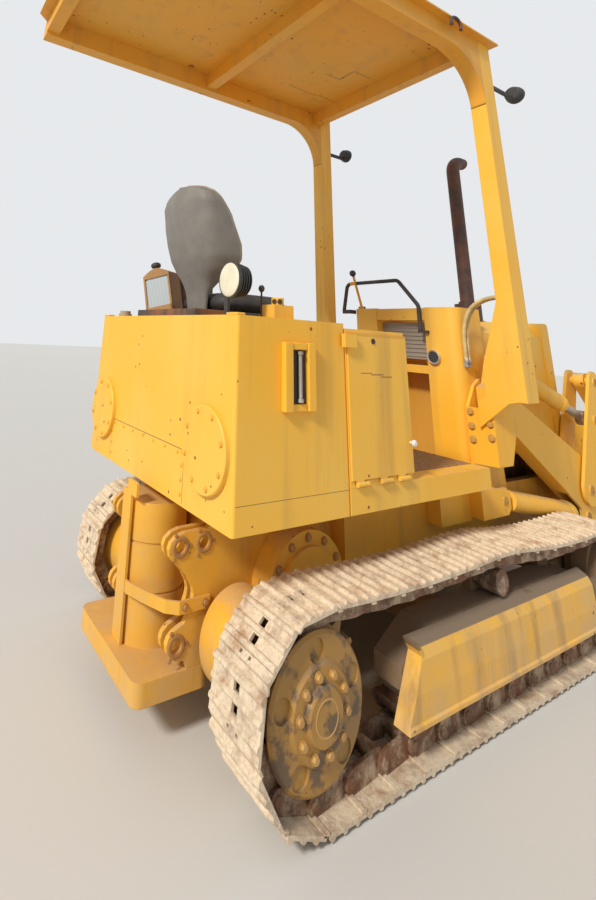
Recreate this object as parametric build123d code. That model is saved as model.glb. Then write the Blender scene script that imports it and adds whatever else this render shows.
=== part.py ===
from build123d import *
import math
import os

# Crawler loader, millimetres. While it is modelled, X points forward from the sprocket's centre, Y to
# the machine's left and Z up from the ground. The parts are written about the middle of the footprint.

# Tracks: one pitch drives the sprocket, the shoes and the length of the loop
PITCH = 160.0
SPROCKET_LINKS = 9
LOOP_SHOES = 36
TRACK_GAUGE = 1346.0
SHOE_WIDTH = 254.0
SHOE_PLATE = 11.0
GROUSER = 13.0
PIN_TO_PLATE = 32.0
RAIL_HEIGHT = 34.0
RAIL_WIDTH = 32.0
RAIL_SPACING = 112.0
IDLER_PIN_RADIUS = 215.0
WHEELBASE = 2168.0
SAG_REAR = 18.0
SAG_FRONT = 24.0
CARRIER_X = 1120.0
CARRIER_RADIUS = 50.0
SPROCKET_RADIUS = PITCH / 2 / math.sin(math.pi / SPROCKET_LINKS)
PIN_TO_TIP = PIN_TO_PLATE + SHOE_PLATE + GROUSER
SPROCKET_Z = SPROCKET_RADIUS + PIN_TO_TIP
IDLER_Z = IDLER_PIN_RADIUS + PIN_TO_TIP
TRACK_Y = TRACK_GAUGE / 2
TRACK_INNER = TRACK_Y - SHOE_WIDTH / 2
TRACK_OUTER = TRACK_Y + SHOE_WIDTH / 2
CARRIER_PIN_Z = SPROCKET_Z + SPROCKET_RADIUS

# Sprockets, measured outward from the track's middle
SPROCKET_DISC = 75.0
SPROCKET_FACE = 127.0
SPROCKET_POCKETS = 5
POCKET_PLACE = 158.0
POCKET_RADIUS = 33.0

# Track frames and rollers
FRAME_HALF = 60.0
FRAME_BOTTOM = 150.0
FRAME_TOP = 375.0
FRAME_REAR = 440.0
FRAME_FRONT = WHEELBASE - 313.0
ROLLER_RADIUS = 68.0
ROLLER_COUNT = 5
ROLLER_FIRST = 520.0
ROLLER_LAST = FRAME_FRONT - 100.0
ROLLER_FLANGE = 12.0
YOKE_HALF = 92.0
YOKE_PLATE = 15.0
GUARD_PLATE = 12.0
GUARD_OUT = 123.0
GUARD_TOP = 374.0
GUARD_BOTTOM = 137.0
GUARD_END = [(382.0, GUARD_BOTTOM), (484.0, 331.0), (455.0, GUARD_TOP)]

# Main frame
CASE_HALF = 375.0
CASE_REAR = -77.7
CASE_STEP = 560.0
CASE_NARROW = 267.7
CASE_FRONT = 1235.0
CASE_BOTTOM = 235.0
CASE_TOP = 755.0
RAIL_INNER = 300.0
RAIL_OUTER = 345.0
RAIL_FRONT = 2680.0
RAIL_BOTTOM = 300.0
RAIL_TOP = 640.0
COVER_X = 310.0
COVER_Z = 412.0
COVER_RADIUS = 212.0
COVER_FACE = 401.0
HOUSING_RADIUS = 165.0
HOUSING_NECK = 110.0

# Rear hitch and counterweight
HITCH_OUTER = 290.0
HITCH_PLATE = 22.0
HITCH_GAP = 26.0
HITCH_PIN_RADIUS = 22.0
DRUM_X = -218.0
DRUM_RADIUS = 140.0
DRUM_TOP = 706.0
SLAB_BOTTOM = 140.0
SLAB_TOP = 212.0
SLAB_REAR = -412.0
SLAB_HALF = 292.0
STRAP_Z = 388.0
STRAP_WIDTH = 42.0
STRAP_THICK = 10.0

# Operator's platform, rear tank and side boxes
PLATFORM_BOTTOM = 763.0
PLATFORM_TOP = 854.0
PLATFORM_FRONT = 1243.0
TANK_REAR = -297.0
TANK_FRONT = 268.0
TANK_HALF = 683.0
TANK_TOP = 1476.0
TANK_COVER_RADIUS = 150.0
TANK_COVER_Y = TANK_HALF - TANK_COVER_RADIUS - 19.0
TANK_COVER_Z = 996.0
TANK_COVER_THICK = 22.0
BOX_FRONT = 652.0
BOX_INNER = 340.0
SKIN = 6.0
DOOR_TOP = 1440.0
DOOR_THICK = 8.0
DOOR_HINGE_RADIUS = 9.0
SEAT_BASE_TOP = 1510.0
SEAT_TOP = 1612.0
CONSOLE_PLAN = (20.0, 260.0, 345.0, 520.0)
CONSOLE_TOP = 1735.0
FILLER_CAP = (-180.0, 635.0)
FILLER_RADIUS = 40.0
BREATHER = (2.0, -560.0)
BREATHER_RADIUS = 26.0

# Canopy
POST_X = 1600.0
POST_Y = 705.0
POST_DEPTH = 120.0
POST_WIDTH = 96.0
POST_BOTTOM = 1145.0
FOOT_PLATE = 20.0
ROOF_UNDER = 3215.0
BEAM_HEIGHT = 130.0
BEAM_WIDTH = 90.0
ROOF_REAR = -960.0
ROOF_SHEET = 12.0
ROOF_HALF = 800.0
GUSSET = 330.0
LAMP_X = 1942.0
LAMP_Y = 743.0
LAMP_Z = 3085.0
LAMP_RADIUS = 56.0
ROUND_LAMP = (-218.0, -500.0, 1620.0)
ROUND_LAMP_RADIUS = 64.0
SQUARE_LAMP = (-109.0, 294.0, 1661.0)
SQUARE_LAMP_HALF = 42.0

# Hood, cowl and engine
HOOD_HALF = 385.0
HOOD_REAR = 1820.0
HOOD_FRONT = 2600.0
HOOD_TOP = 1590.0
COWL_REAR = 1562.0
COWL_HALF = 400.0
COWL_INNER = 185.0
COWL_TOP = 1650.0
COWL_BOTTOM = RAIL_TOP + 0.3
COWL_ROUND = 70.0
DASH_BAR_Z = 1568.0
DASH_LEDGE_Z = 1288.0
DASH_RIBS = 8
GAUGE_PLACE = (-238.0, 1344.0)
GAUGE_RADIUS = 44.0
HANDLE_TOP = 1835.0
HANDLE_RADIUS = 13.0
LEVER_KNOB_Z = 1915.0
HOSES_X = (1600.0, 1628.0)
HOSE_RADIUS = 8.0
HOSE_FOOT = 1299.0
HOSE_TURN = 1600.0
HOSE_HEAD = 1702.0
GUARD_FRONT = 2700.0
EXHAUST_X = HOOD_REAR + 180.0
EXHAUST_Y = -230.0
EXHAUST_RADIUS = 44.0
EXHAUST_TOP = 2810.0
EXHAUST_FOOT = 110.0
EXHAUST_FOOT_RADIUS = 82.0
EXHAUST_BEND = 95.0
EXHAUST_REACH = 130.0

# Loader linkage, as points (x, z) seen from the side with the bucket on the ground
ARM_PIVOT = (1710.0, 1115.0)
KNEE_PIVOT = (2575.0, 600.0)
LIFT_PIN = (2540.0, 452.0)
LIFT_BASE = (1640.0, 628.0)
TILT_BASE = (1805.0, 1340.0)
BUCKET_PIN = (3380.0, 250.0)
LEVER_TILT_RADIUS = 450.0
LEVER_TILT_ANGLE = 61.5
LEVER_TOP_RADIUS = 700.0
LEVER_TOP_ANGLE = 64.5
BUCKET_LINK_RADIUS = 400.0
BUCKET_LINK_ANGLE = 80.0
ARM_Y = 480.0
ARM_WIDTH = 100.0
ARM_PLATE = 16.0
SIDE_GAP = 8.0
LEVER_PLATE = 18.0
PIN_RADIUS = 32.0
PIN_FIT = 0.05
BASE_PIN_RADIUS = 26.0
EYE_WIDTH = 50.0
LIFT_BARREL_RADIUS = 54.0
LIFT_ROD_RADIUS = 28.0
LIFT_BARREL = 770.0
LIFT_BORE = 620.0
LIFT_INSIDE = 600.0
TILT_BARREL_RADIUS = 50.0
TILT_ROD_RADIUS = 26.0
TILT_BARREL = 745.0
TILT_BORE = 610.0
TILT_INSIDE = 450.0
BARREL_START = 90.0
ROD_FIT = 0.05

# Loader towers
TOWER_REAR = 1560.3
TOWER_FRONT = 1860.0
TOWER_BASE_REAR = 1165.0
TOWER_BASE_FRONT = 1585.0
TOWER_BASE_OUTER = 455.0
TOWER_BOTTOM = 541.0
TOWER_PLATE = 20.0

# Bucket
BUCKET_HALF = 880.0
BUCKET_REAR = 3480.0
BUCKET_EDGE = 4300.0
BUCKET_TOP = 880.0
BUCKET_PLATE = 14.0
BUCKET_SIDE = 20.0
BUCKET_FLOOR = 6.0
HEEL_RADIUS = 190.0
BUCKET_BEND_Z = 640.0
BUCKET_BACK = 90.0
BUCKET_CREST = 180.0
TOOTH_COUNT = 8
TOOTH_WIDTH = 60.0


def polar(origin, radius, degrees):
    """A point at a distance and angle from another, seen from the side."""
    turn = math.radians(degrees)
    return (origin[0] + radius * math.cos(turn), origin[1] + radius * math.sin(turn))


LEVER_TILT = polar(KNEE_PIVOT, LEVER_TILT_RADIUS, LEVER_TILT_ANGLE)
LEVER_TOP = polar(KNEE_PIVOT, LEVER_TOP_RADIUS, LEVER_TOP_ANGLE)
BUCKET_LINK = polar(BUCKET_PIN, BUCKET_LINK_RADIUS, BUCKET_LINK_ANGLE)


def slab(outline, y0, y1):
    """A plate with a side outline of (x, z) points, from y0 to y1."""
    ring = Polyline(*[(x, y0, z) for x, z in outline], close=True)
    return extrude(make_face(ring), y1 - y0, dir=(0, 1, 0))


def layer(outline, z0, z1):
    """A plate with a plan outline of (x, y) points, from z0 to z1."""
    ring = Polyline(*[(x, y, z0) for x, y in outline], close=True)
    return extrude(make_face(ring), z1 - z0, dir=(0, 0, 1))


def wall(outline, x0, x1):
    """A plate with an end outline of (y, z) points, from x0 to x1."""
    ring = Polyline(*[(x0, y, z) for y, z in outline], close=True)
    return extrude(make_face(ring), x1 - x0, dir=(1, 0, 0))


def block(x0, x1, y0, y1, z0, z1):
    return Pos((x0 + x1) / 2, (y0 + y1) / 2, (z0 + z1) / 2) * Box(
        abs(x1 - x0), abs(y1 - y0), abs(z1 - z0)
    )


def disc(point, radius, y0, y1):
    """A round boss or pin across the machine at a side point (x, z)."""
    axis = Plane(origin=(point[0], y0, point[1]), x_dir=(1, 0, 0), z_dir=(0, 1, 0))
    return extrude(axis * Circle(radius), y1 - y0)


def bar(start, end, radius):
    """A round bar between two points (x, y, z)."""
    a = Vector(*start)
    b = Vector(*end)
    return extrude(Plane(origin=a, z_dir=b - a) * Circle(radius), (b - a).length)


def stadium(start, end, radius_start, radius_end, y0, y1):
    """A flat link with a round eye at each end."""
    straight = math.dist(start, end)
    lean = math.degrees(math.atan2(end[1] - start[1], end[0] - start[0]))
    swing = math.degrees(math.asin((radius_start - radius_end) / straight))
    corners = [
        polar(start, radius_start, lean + 90 - swing),
        polar(start, radius_start, lean - 90 + swing),
        polar(end, radius_end, lean - 90 + swing),
        polar(end, radius_end, lean + 90 - swing),
    ]
    return slab(corners, y0, y1) + disc(start, radius_start, y0, y1) + disc(end, radius_end, y0, y1)


def mirrored(part):
    return mirror(part, about=Plane.XZ)


def pair(right):
    """A right-hand piece with its left-hand twin, as one node."""
    return Compound([*right.solids(), *mirrored(right).solids()])


def group(*parts):
    """Separate solids that share a node."""
    return Compound([solid for part in parts for solid in part.solids()])


# Tracks: the chain's pins run along the ground, round the idler, back over the carrier roller with a
# little sag on each side of it, and round the sprocket
def top_height(x):
    """Height of the chain's pins on the upper run."""
    if x < CARRIER_X:
        share = x / CARRIER_X
        return CARRIER_PIN_Z - SAG_REAR * math.sin(math.pi * share)
    share = (x - CARRIER_X) / (WHEELBASE - CARRIER_X)
    fall = CARRIER_PIN_Z - (IDLER_Z + IDLER_PIN_RADIUS)
    return CARRIER_PIN_Z - fall * share - SAG_FRONT * math.sin(math.pi * share)


def pin_path():
    """Closely spaced points of the loop on which the chain's pins lie, from below the sprocket forward."""
    steps = 60
    points = [(WHEELBASE * i / steps, PIN_TO_TIP) for i in range(steps)]
    points += [polar((WHEELBASE, IDLER_Z), IDLER_PIN_RADIUS, -90 + 180 * i / steps) for i in range(steps)]
    for i in range(steps):
        x = WHEELBASE * (1 - i / steps)
        points.append((x, top_height(x)))
    points += [polar((0, SPROCKET_Z), SPROCKET_RADIUS, 90 + 180 * i / steps) for i in range(steps)]
    return points


def chain_pins():
    """The chain's pins, equally spaced along the loop."""
    points = pin_path()
    points.append(points[0])
    lengths = [0.0]
    for a, b in zip(points, points[1:]):
        lengths.append(lengths[-1] + math.dist(a, b))
    pins = []
    for i in range(LOOP_SHOES):
        target = lengths[-1] * i / LOOP_SHOES
        k = max(j for j in range(len(points) - 1) if lengths[j] <= target)
        share = (target - lengths[k]) / (lengths[k + 1] - lengths[k])
        (x0, z0), (x1, z1) = points[k], points[k + 1]
        pins.append((x0 + (x1 - x0) * share, z0 + (z1 - z0) * share))
    return pins


def shoe_outline(profile):
    """Carries a profile of (share of the pitch, distance out from the pins) round the whole chain."""
    pins = chain_pins()
    outline = []
    for i, (x0, z0) in enumerate(pins):
        x1, z1 = pins[(i + 1) % len(pins)]
        pitch = math.dist((x0, z0), (x1, z1))
        ux, uz = (x1 - x0) / pitch, (z1 - z0) / pitch
        for share, out in profile:
            outline.append((x0 + ux * pitch * share + uz * out, z0 + uz * pitch * share - ux * out))
    return outline


def track(side):
    plate = PIN_TO_PLATE + SHOE_PLATE
    tip = PIN_TO_TIP
    # One shoe, as (share of the pitch, distance out): three bars across a plate
    grousers = [
        (0.02, plate), (0.04, tip - 2), (0.11, tip), (0.15, plate + 1),
        (0.42, plate), (0.46, tip - 3), (0.54, tip - 3), (0.58, plate),
        (0.85, plate + 1), (0.89, tip), (0.96, tip - 2), (0.98, plate),
    ]
    inner = [(0.1, PIN_TO_PLATE), (0.9, PIN_TO_PLATE)]
    rail_out = [(0.1, PIN_TO_PLATE + 3), (0.9, PIN_TO_PLATE + 3)]
    rail_in = [(0.15, -RAIL_HEIGHT), (0.85, -RAIL_HEIGHT)]
    y0 = side * TRACK_Y - SHOE_WIDTH / 2
    shoes = slab(shoe_outline(grousers), y0, y0 + SHOE_WIDTH) - slab(
        shoe_outline(inner), y0 - 1, y0 + SHOE_WIDTH + 1
    )
    chain = slab(shoe_outline(rail_out), y0, y0 + RAIL_WIDTH) - slab(
        shoe_outline(rail_in), y0 - 1, y0 + RAIL_WIDTH + 1
    )
    first = (SHOE_WIDTH - RAIL_SPACING - RAIL_WIDTH) / 2
    for offset in (first, first + RAIL_SPACING):
        shoes += Pos(0, offset, 0) * chain
    return shoes


def sprockets():
    """Toothed wheels between the rails, with a dished disc outside them and a hub for the bolts."""
    y = -TRACK_Y
    root = SPROCKET_RADIUS - 24
    tip = SPROCKET_RADIUS + 10
    half = (RAIL_SPACING - RAIL_WIDTH) / 2 - 6
    turn = 360 / SPROCKET_LINKS / 2
    teeth = []
    for i in range(2 * SPROCKET_LINKS):
        for radius, share in ((root, 0.06), (tip, 0.30), (tip, 0.44), (root, 0.68)):
            teeth.append(polar((0, SPROCKET_Z), radius, turn * (i + share)))
    wheel = slab(teeth, y - half, y + half)
    # Half section of the disc as (radius, distance out from the track's middle)
    reach = SPROCKET_RADIUS * math.cos(math.pi / SPROCKET_LINKS) - RAIL_HEIGHT - 1.5
    section = [
        (0, -half), (reach, -half), (reach, SPROCKET_DISC), (reach + 18, SPROCKET_DISC + 1),
        (reach + 20, SPROCKET_DISC + 9), (reach + 10, SPROCKET_DISC + 17), (132, SPROCKET_DISC + 22),
        (122, SPROCKET_DISC + 34), (80, SPROCKET_DISC + 37), (74, SPROCKET_FACE - 4), (70, SPROCKET_FACE),
        (0, SPROCKET_FACE),
    ]
    ring = Polyline(*[(radius, y - out, SPROCKET_Z) for radius, out in section], close=True)
    disc_body = revolve(make_face(ring), Axis((0, 0, SPROCKET_Z), (0, 1, 0)))
    for i in range(SPROCKET_POCKETS):
        centre = polar((0, SPROCKET_Z), POCKET_PLACE, 360 * (i + 0.3) / SPROCKET_POCKETS)
        disc_body -= disc(centre, POCKET_RADIUS, y - SPROCKET_DISC - 40, y - SPROCKET_DISC - 12)
    return pair(wheel + disc_body)


def idlers():
    y = -TRACK_Y
    centre = (WHEELBASE, IDLER_Z)
    chord = math.sqrt(IDLER_PIN_RADIUS ** 2 - (PITCH / 2) ** 2)
    tread = chord - RAIL_HEIGHT - 1.5
    wheel = disc(centre, tread, y - 75, y + 75)
    for side in (-1, 1):
        wheel -= disc(centre, tread - 30, y + side * 75, y + side * 30)
    flange_half = (RAIL_SPACING - RAIL_WIDTH) / 2 - 5
    flange = disc(centre, tread + 22, y - flange_half, y + flange_half)
    hub = disc(centre, 60, y - YOKE_HALF + 0.3, y + YOKE_HALF - 0.3)
    return pair(wheel + flange + hub)


# Track frames: box beams that carry the rollers below, the carrier roller above and the idler's yoke
def track_frames():
    y = -TRACK_Y
    profile = [
        (FRAME_REAR, FRAME_BOTTOM + 60), (FRAME_REAR + 60, FRAME_BOTTOM), (FRAME_FRONT, FRAME_BOTTOM),
        (FRAME_FRONT, FRAME_TOP - 40), (FRAME_FRONT - 260, FRAME_TOP), (FRAME_REAR + 170, FRAME_TOP),
        (FRAME_REAR, FRAME_TOP - 90),
    ]
    beam = slab(profile, y - FRAME_HALF, y + FRAME_HALF)
    post = block(CARRIER_X - 60, CARRIER_X + 60, y + 30, y + 70, FRAME_TOP - 2, carrier_z() + 20)
    stub = disc((CARRIER_X, carrier_z()), 24, y - 60, y + 70)
    outside = YOKE_HALF + YOKE_PLATE
    low, high = IDLER_Z - YOKE_PLATE * 4, IDLER_Z + YOKE_PLATE * 4
    yoke = block(FRAME_FRONT - 2, WHEELBASE + 60, y - outside, y - YOKE_HALF, low, high)
    yoke += block(FRAME_FRONT - 2, WHEELBASE + 60, y + YOKE_HALF, y + outside, low, high)
    yoke += block(FRAME_FRONT - 2, FRAME_FRONT + YOKE_PLATE, y - outside, y + outside, low, high)
    reach = block(760, 900, y + FRAME_HALF - 2, -CASE_HALF - 0.3, 260, 350)
    reach += block(1700, 1800, y + FRAME_HALF - 2, -RAIL_OUTER - 0.3, 325, 375)
    return pair(beam + post + stub + yoke + reach)


def carrier_z():
    return top_height(CARRIER_X) - RAIL_HEIGHT - CARRIER_RADIUS - 9


def flanged_roller(centre, radius, y):
    """A roller whose tread carries the rails, with a flange outside each of them."""
    half = (RAIL_SPACING + RAIL_WIDTH) / 2 + 1
    body = disc(centre, radius, y - half, y + half)
    body += disc(centre, radius + ROLLER_FLANGE, y - half - 8, y - half)
    return body + disc(centre, radius + ROLLER_FLANGE, y + half, y + half + 8)


def track_rollers():
    y = -TRACK_Y
    parts = []
    z = PIN_TO_TIP + RAIL_HEIGHT + ROLLER_RADIUS + 0.3
    for i in range(ROLLER_COUNT):
        x = ROLLER_FIRST + (ROLLER_LAST - ROLLER_FIRST) * i / (ROLLER_COUNT - 1)
        roller = flanged_roller((x, z), ROLLER_RADIUS, y)
        above = block(x - 100, x + 100, y - 200, y + 200, FRAME_BOTTOM - 0.3, FRAME_TOP)
        parts.append(roller - above)
    return pair(group(*parts))


def carrier_rollers():
    y = -TRACK_Y
    centre = (CARRIER_X, carrier_z())
    roller = disc(centre, CARRIER_RADIUS, y - 78, y + 26) - disc(centre, 24.3, y - 60.3, y + 200)
    return pair(roller)


def track_guards():
    """Long rock guards along the track frames, bulged and lipped, each closed at the rear by a slanted plate."""
    out = TRACK_Y + GUARD_OUT
    inner = TRACK_Y + FRAME_HALF + 0.3
    outside = [
        (out + 4, GUARD_BOTTOM), (out + 4, GUARD_BOTTOM + 12), (out - 2, GUARD_BOTTOM + 19), (out + 1, 230),
        (out - 4, 320), (out - 20, 352), (inner, GUARD_TOP),
    ]
    inside = [
        (inner, GUARD_TOP - GUARD_PLATE), (out - 26, 340), (out - 4 - GUARD_PLATE, 314), (out - GUARD_PLATE, 230),
        (out - 2 - GUARD_PLATE, GUARD_BOTTOM + 19), (out - 2 - GUARD_PLATE, GUARD_BOTTOM),
    ]
    plate = wall([(-y, z) for y, z in outside + inside], GUARD_END[0][0], FRAME_FRONT - 20)
    behind = [(GUARD_END[0][0] - 10, 0), (GUARD_END[0][0], 0), *GUARD_END, (GUARD_END[2][0], 500), (0, 500), (0, 0)]
    plate -= slab(behind, -out - 40, -inner + 40)
    shifted = [(x + GUARD_PLATE + 2, z - 2) for x, z in GUARD_END]
    end = slab([*GUARD_END, shifted[2], shifted[1], (shifted[0][0], GUARD_BOTTOM)], -out + 6, -inner)
    return pair(plate + end)


# Main frame: the steering and gear case behind, two side rails forward to the radiator guard
def main_frame():
    case = slab(
        [(CASE_REAR, CASE_BOTTOM + 70), (CASE_REAR + 90, CASE_BOTTOM), (CASE_STEP + 5, CASE_BOTTOM + 15),
         (CASE_STEP + 5, CASE_TOP), (CASE_REAR, CASE_TOP)],
        -CASE_NARROW, CASE_NARROW,
    )
    case += slab(
        [(CASE_STEP, CASE_BOTTOM + 15), (CASE_FRONT, CASE_BOTTOM + 30), (CASE_FRONT, CASE_TOP - 60),
         (CASE_FRONT - 160, CASE_TOP), (CASE_STEP, CASE_TOP)],
        -CASE_HALF, CASE_HALF,
    )
    cover = disc((COVER_X, COVER_Z), COVER_RADIUS, -COVER_FACE, -CASE_NARROW + 5)
    cover += disc((COVER_X, COVER_Z), COVER_RADIUS - 55, -COVER_FACE - 18, -CASE_HALF)
    case += cover + mirrored(cover)
    for side in (-1, 1):
        case += slab(
            [(CASE_FRONT - 200, RAIL_BOTTOM), (RAIL_FRONT, RAIL_BOTTOM + 40), (RAIL_FRONT, RAIL_TOP),
             (CASE_FRONT - 200, RAIL_TOP)],
            side * RAIL_INNER, side * RAIL_OUTER,
        )
    case += block(RAIL_FRONT - 40, RAIL_FRONT, -RAIL_OUTER, RAIL_OUTER, RAIL_BOTTOM + 40, RAIL_TOP)
    case += block(CASE_FRONT - 5, RAIL_FRONT, -RAIL_INNER - 5, RAIL_INNER + 5, RAIL_BOTTOM, RAIL_BOTTOM + 12)
    return case


def final_drives():
    """Round housings that carry the sprockets outside the machine's side plates."""
    y_in = -HITCH_OUTER - 0.3
    y_out = -TRACK_Y + (RAIL_SPACING - RAIL_WIDTH) / 2 - 5.7
    centre = (0, SPROCKET_Z)
    housing = disc(centre, HOUSING_RADIUS, y_out, y_in - 25) + disc(centre, HOUSING_NECK, y_in - 30, y_in)
    return pair(housing - disc((COVER_X, COVER_Z), COVER_RADIUS + 2, -COVER_FACE - 30, y_in + 10))


# Rear hitch: two plates a side, bored for pins, with a round drum weight on a slab between them. The outer
# plate runs forward along the case to the round cover.
HITCH_BACK = CASE_REAR - 0.3
HITCH_LOBES = [
    (-131, 652), (-235, 650), (-271, 641), (-296, 622), (-304, 600), (-298, 576), (-283, 558), (-248, 531),
    (-213, 497), (-190, 462), (-184, 440), (-188, 415), (-202, 381), (-222, 352), (-264, 336), (-284, 320),
    (-292, 298), (-288, 276), (-272, 256), (-250, 245), (-211, 238), (-200, SLAB_TOP + 0.3),
    (-97, SLAB_TOP + 0.3),
]
HITCH_UPPER = (-253.0, 603.0)
HITCH_LOWER = (-250.0, 290.0)
HITCH_NEAR = (-145.0, 606.0)


def rear_hitch():
    long = HITCH_LOBES + [(-60, CASE_BOTTOM), (CASE_STEP - 0.3, CASE_BOTTOM + 30), (CASE_STEP - 0.3, CASE_TOP)]
    plates = slab(long + [(-20, CASE_TOP), (-60, 690)], -HITCH_OUTER, -HITCH_OUTER + HITCH_PLATE)
    plates -= disc((COVER_X, COVER_Z), COVER_RADIUS + 0.3, -HITCH_OUTER - 1, 0)
    short = HITCH_LOBES + [(HITCH_BACK, CASE_BOTTOM), (HITCH_BACK, 680)]
    inner = -HITCH_OUTER + 2 * HITCH_PLATE + HITCH_GAP
    plates += slab(short, inner - HITCH_PLATE, inner)
    plates += block(HITCH_BACK - 18, HITCH_BACK, -HITCH_OUTER + 5, inner, 305, 676)
    for hole in (HITCH_UPPER, HITCH_LOWER, HITCH_NEAR):
        plates -= disc(hole, HITCH_PIN_RADIUS, -HITCH_OUTER - 50, 0)
    return pair(plates)


def counterweight():
    base = block(SLAB_REAR, CASE_REAR - 20, -SLAB_HALF, SLAB_HALF, SLAB_BOTTOM, SLAB_TOP)
    base = fillet(base.edges().filter_by(Axis.Z), 40)
    drum = Pos(DRUM_X, 0, (SLAB_TOP - 2 + DRUM_TOP) / 2) * Cylinder(DRUM_RADIUS, DRUM_TOP - SLAB_TOP + 2)
    for z in (390.0, 560.0):
        groove = Cylinder(DRUM_RADIUS + 5, 8) - Cylinder(DRUM_RADIUS - 5, 8)
        drum -= Pos(DRUM_X, 0, z) * groove
    return base + drum


def ribbon(path, thickness, z0, z1):
    """A flat bar on edge along a plan path of (x, y) points, bent at each of them."""
    left = []
    right = []
    for i, (x, y) in enumerate(path):
        before = path[max(i - 1, 0)]
        after = path[min(i + 1, len(path) - 1)]
        normals = []
        for a, b in ((before, (x, y)), ((x, y), after)):
            length = math.dist(a, b)
            if length:
                normals.append(((a[1] - b[1]) / length, (b[0] - a[0]) / length))
        nx = sum(n[0] for n in normals) / len(normals)
        ny = sum(n[1] for n in normals) / len(normals)
        share = thickness / 2 / (nx * nx + ny * ny)
        left.append((x + nx * share, y + ny * share))
        right.append((x - nx * share, y - ny * share))
    return layer(left + right[::-1], z0, z1)


def counterweight_strap():
    """A flat bar that stands behind the drum, with a strap round to the right-hand hitch plate."""
    rear = DRUM_X - DRUM_RADIUS - 2
    standing = block(rear - 12, rear, -58, 22, SLAB_TOP + 0.3, 744)
    standing += block(rear - 12, rear, -107, -17, 732, 786)
    middle = rear - STRAP_THICK / 2 + 1
    outside = -HITCH_OUTER - STRAP_THICK / 2 - 0.3
    path = [(middle, -20), (middle, -75), (-335, -160), (-290, -262), (-248, outside), (-112, outside)]
    return standing + ribbon(path, STRAP_THICK, STRAP_Z, STRAP_Z + STRAP_WIDTH)


# Platform, tank and side boxes
def platform():
    return block(TANK_FRONT + 0.3, PLATFORM_FRONT, -TANK_HALF, TANK_HALF, PLATFORM_BOTTOM, PLATFORM_TOP)


def rear_tank():
    """The fuel and oil tank across the rear, with its raised round covers, filler cap and breather."""
    tank = block(TANK_REAR, TANK_FRONT, -TANK_HALF, TANK_HALF, PLATFORM_BOTTOM, TANK_TOP)
    tank = fillet(tank.edges().filter_by(Axis.Z), 14)
    for side in (-1, 1):
        face = Plane(origin=(TANK_REAR + 2, side * TANK_COVER_Y, TANK_COVER_Z), z_dir=(-1, 0, 0))
        cover = extrude(face * Circle(TANK_COVER_RADIUS), TANK_COVER_THICK + 2)
        tank += chamfer(cover.edges().sort_by(Axis.X)[0], 4)
    tank += Pos(*FILLER_CAP, TANK_TOP + 10) * Cylinder(FILLER_RADIUS, 24)
    tank += Pos(*FILLER_CAP, TANK_TOP + 28) * Cylinder(FILLER_RADIUS - 8, 20)
    x, y = BREATHER
    tank += block(x - 52, x + 53, y - 40, y + 40, TANK_TOP - 2, TANK_TOP + 58)
    tank += Pos(x, y, TANK_TOP + 72) * Cylinder(BREATHER_RADIUS, 32)
    return tank


def side_boxes():
    """Boxes in front of the tank on both sides; the right-hand one has the door's opening."""
    y_out = -TANK_HALF
    box = block(TANK_FRONT + 0.3, BOX_FRONT, y_out, -BOX_INNER, PLATFORM_TOP + 0.3, TANK_TOP - 20)
    inside = block(
        TANK_FRONT + SKIN, BOX_FRONT - SKIN, y_out + 20, -BOX_INNER - SKIN, PLATFORM_TOP + SKIN, TANK_TOP - 20 - SKIN
    )
    right = box - inside - block(
        TANK_FRONT + 24, BOX_FRONT - 24, y_out - 1, y_out + 30, PLATFORM_TOP + 24, DOOR_TOP - 24
    )
    # The box's own knuckle and pin beside each of the door's knuckles
    hinge_y, hinge_z = DOOR_HINGE
    for x in DOOR_HINGES:
        near = x + HINGE_HALF + 0.5
        far = near + HINGE_HALF
        right += bar((near, hinge_y, hinge_z), (far, hinge_y, hinge_z), DOOR_HINGE_RADIUS)
        right += block(near, far, hinge_y, y_out + 3, hinge_z - DOOR_HINGE_RADIUS, hinge_z)
        right += bar((x - HINGE_HALF, hinge_y, hinge_z), (far, hinge_y, hinge_z), HINGE_PIN_RADIUS)
    return group(right, mirrored(box))


DOOR_FACE = -TANK_HALF - 1.0
DOOR_HINGE = (DOOR_FACE - DOOR_HINGE_RADIUS - 0.5, PLATFORM_TOP + 14)
DOOR_HINGES = (TANK_FRONT + 50, (TANK_FRONT + BOX_FRONT) / 2, BOX_FRONT - 80)
HINGE_HALF = 22.0
HINGE_PIN_RADIUS = 4.0


def side_door():
    outside = DOOR_FACE - DOOR_THICK
    hinge_y, hinge_z = DOOR_HINGE
    panel = block(TANK_FRONT + 4, BOX_FRONT + 2, outside, DOOR_FACE, hinge_z + 14, DOOR_TOP)
    for x in DOOR_HINGES:
        leaf = block(x - HINGE_HALF, x + HINGE_HALF, outside, DOOR_FACE, hinge_z, hinge_z + 16)
        ends = ((x - HINGE_HALF, hinge_y, hinge_z), (x + HINGE_HALF, hinge_y, hinge_z))
        panel += leaf + bar(*ends, DOOR_HINGE_RADIUS)
        panel -= bar(*ends, HINGE_PIN_RADIUS + PIN_FIT)
    latch = block(TANK_FRONT - 30, TANK_FRONT + 40, outside - 20, outside + 1, DOOR_TOP - 60, DOOR_TOP - 5)
    return panel + latch


def sight_gauge():
    """A hooded level gauge on the tank's right side."""
    y = -TANK_HALF - 0.3
    frame = block(-86, 73, y - 26, y, 1139, 1388)
    return frame - block(-40, 30, y - 30, y - 10, 1172, 1357)


# Seat on top of the tank
def seat_base():
    return block(-250, 330, -300, 300, TANK_TOP + 0.3, SEAT_BASE_TOP)


def seat_cushion():
    base = block(-55, 390, -250, 250, SEAT_BASE_TOP + 0.3, SEAT_TOP)
    return fillet(base.edges(), 30)


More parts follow.
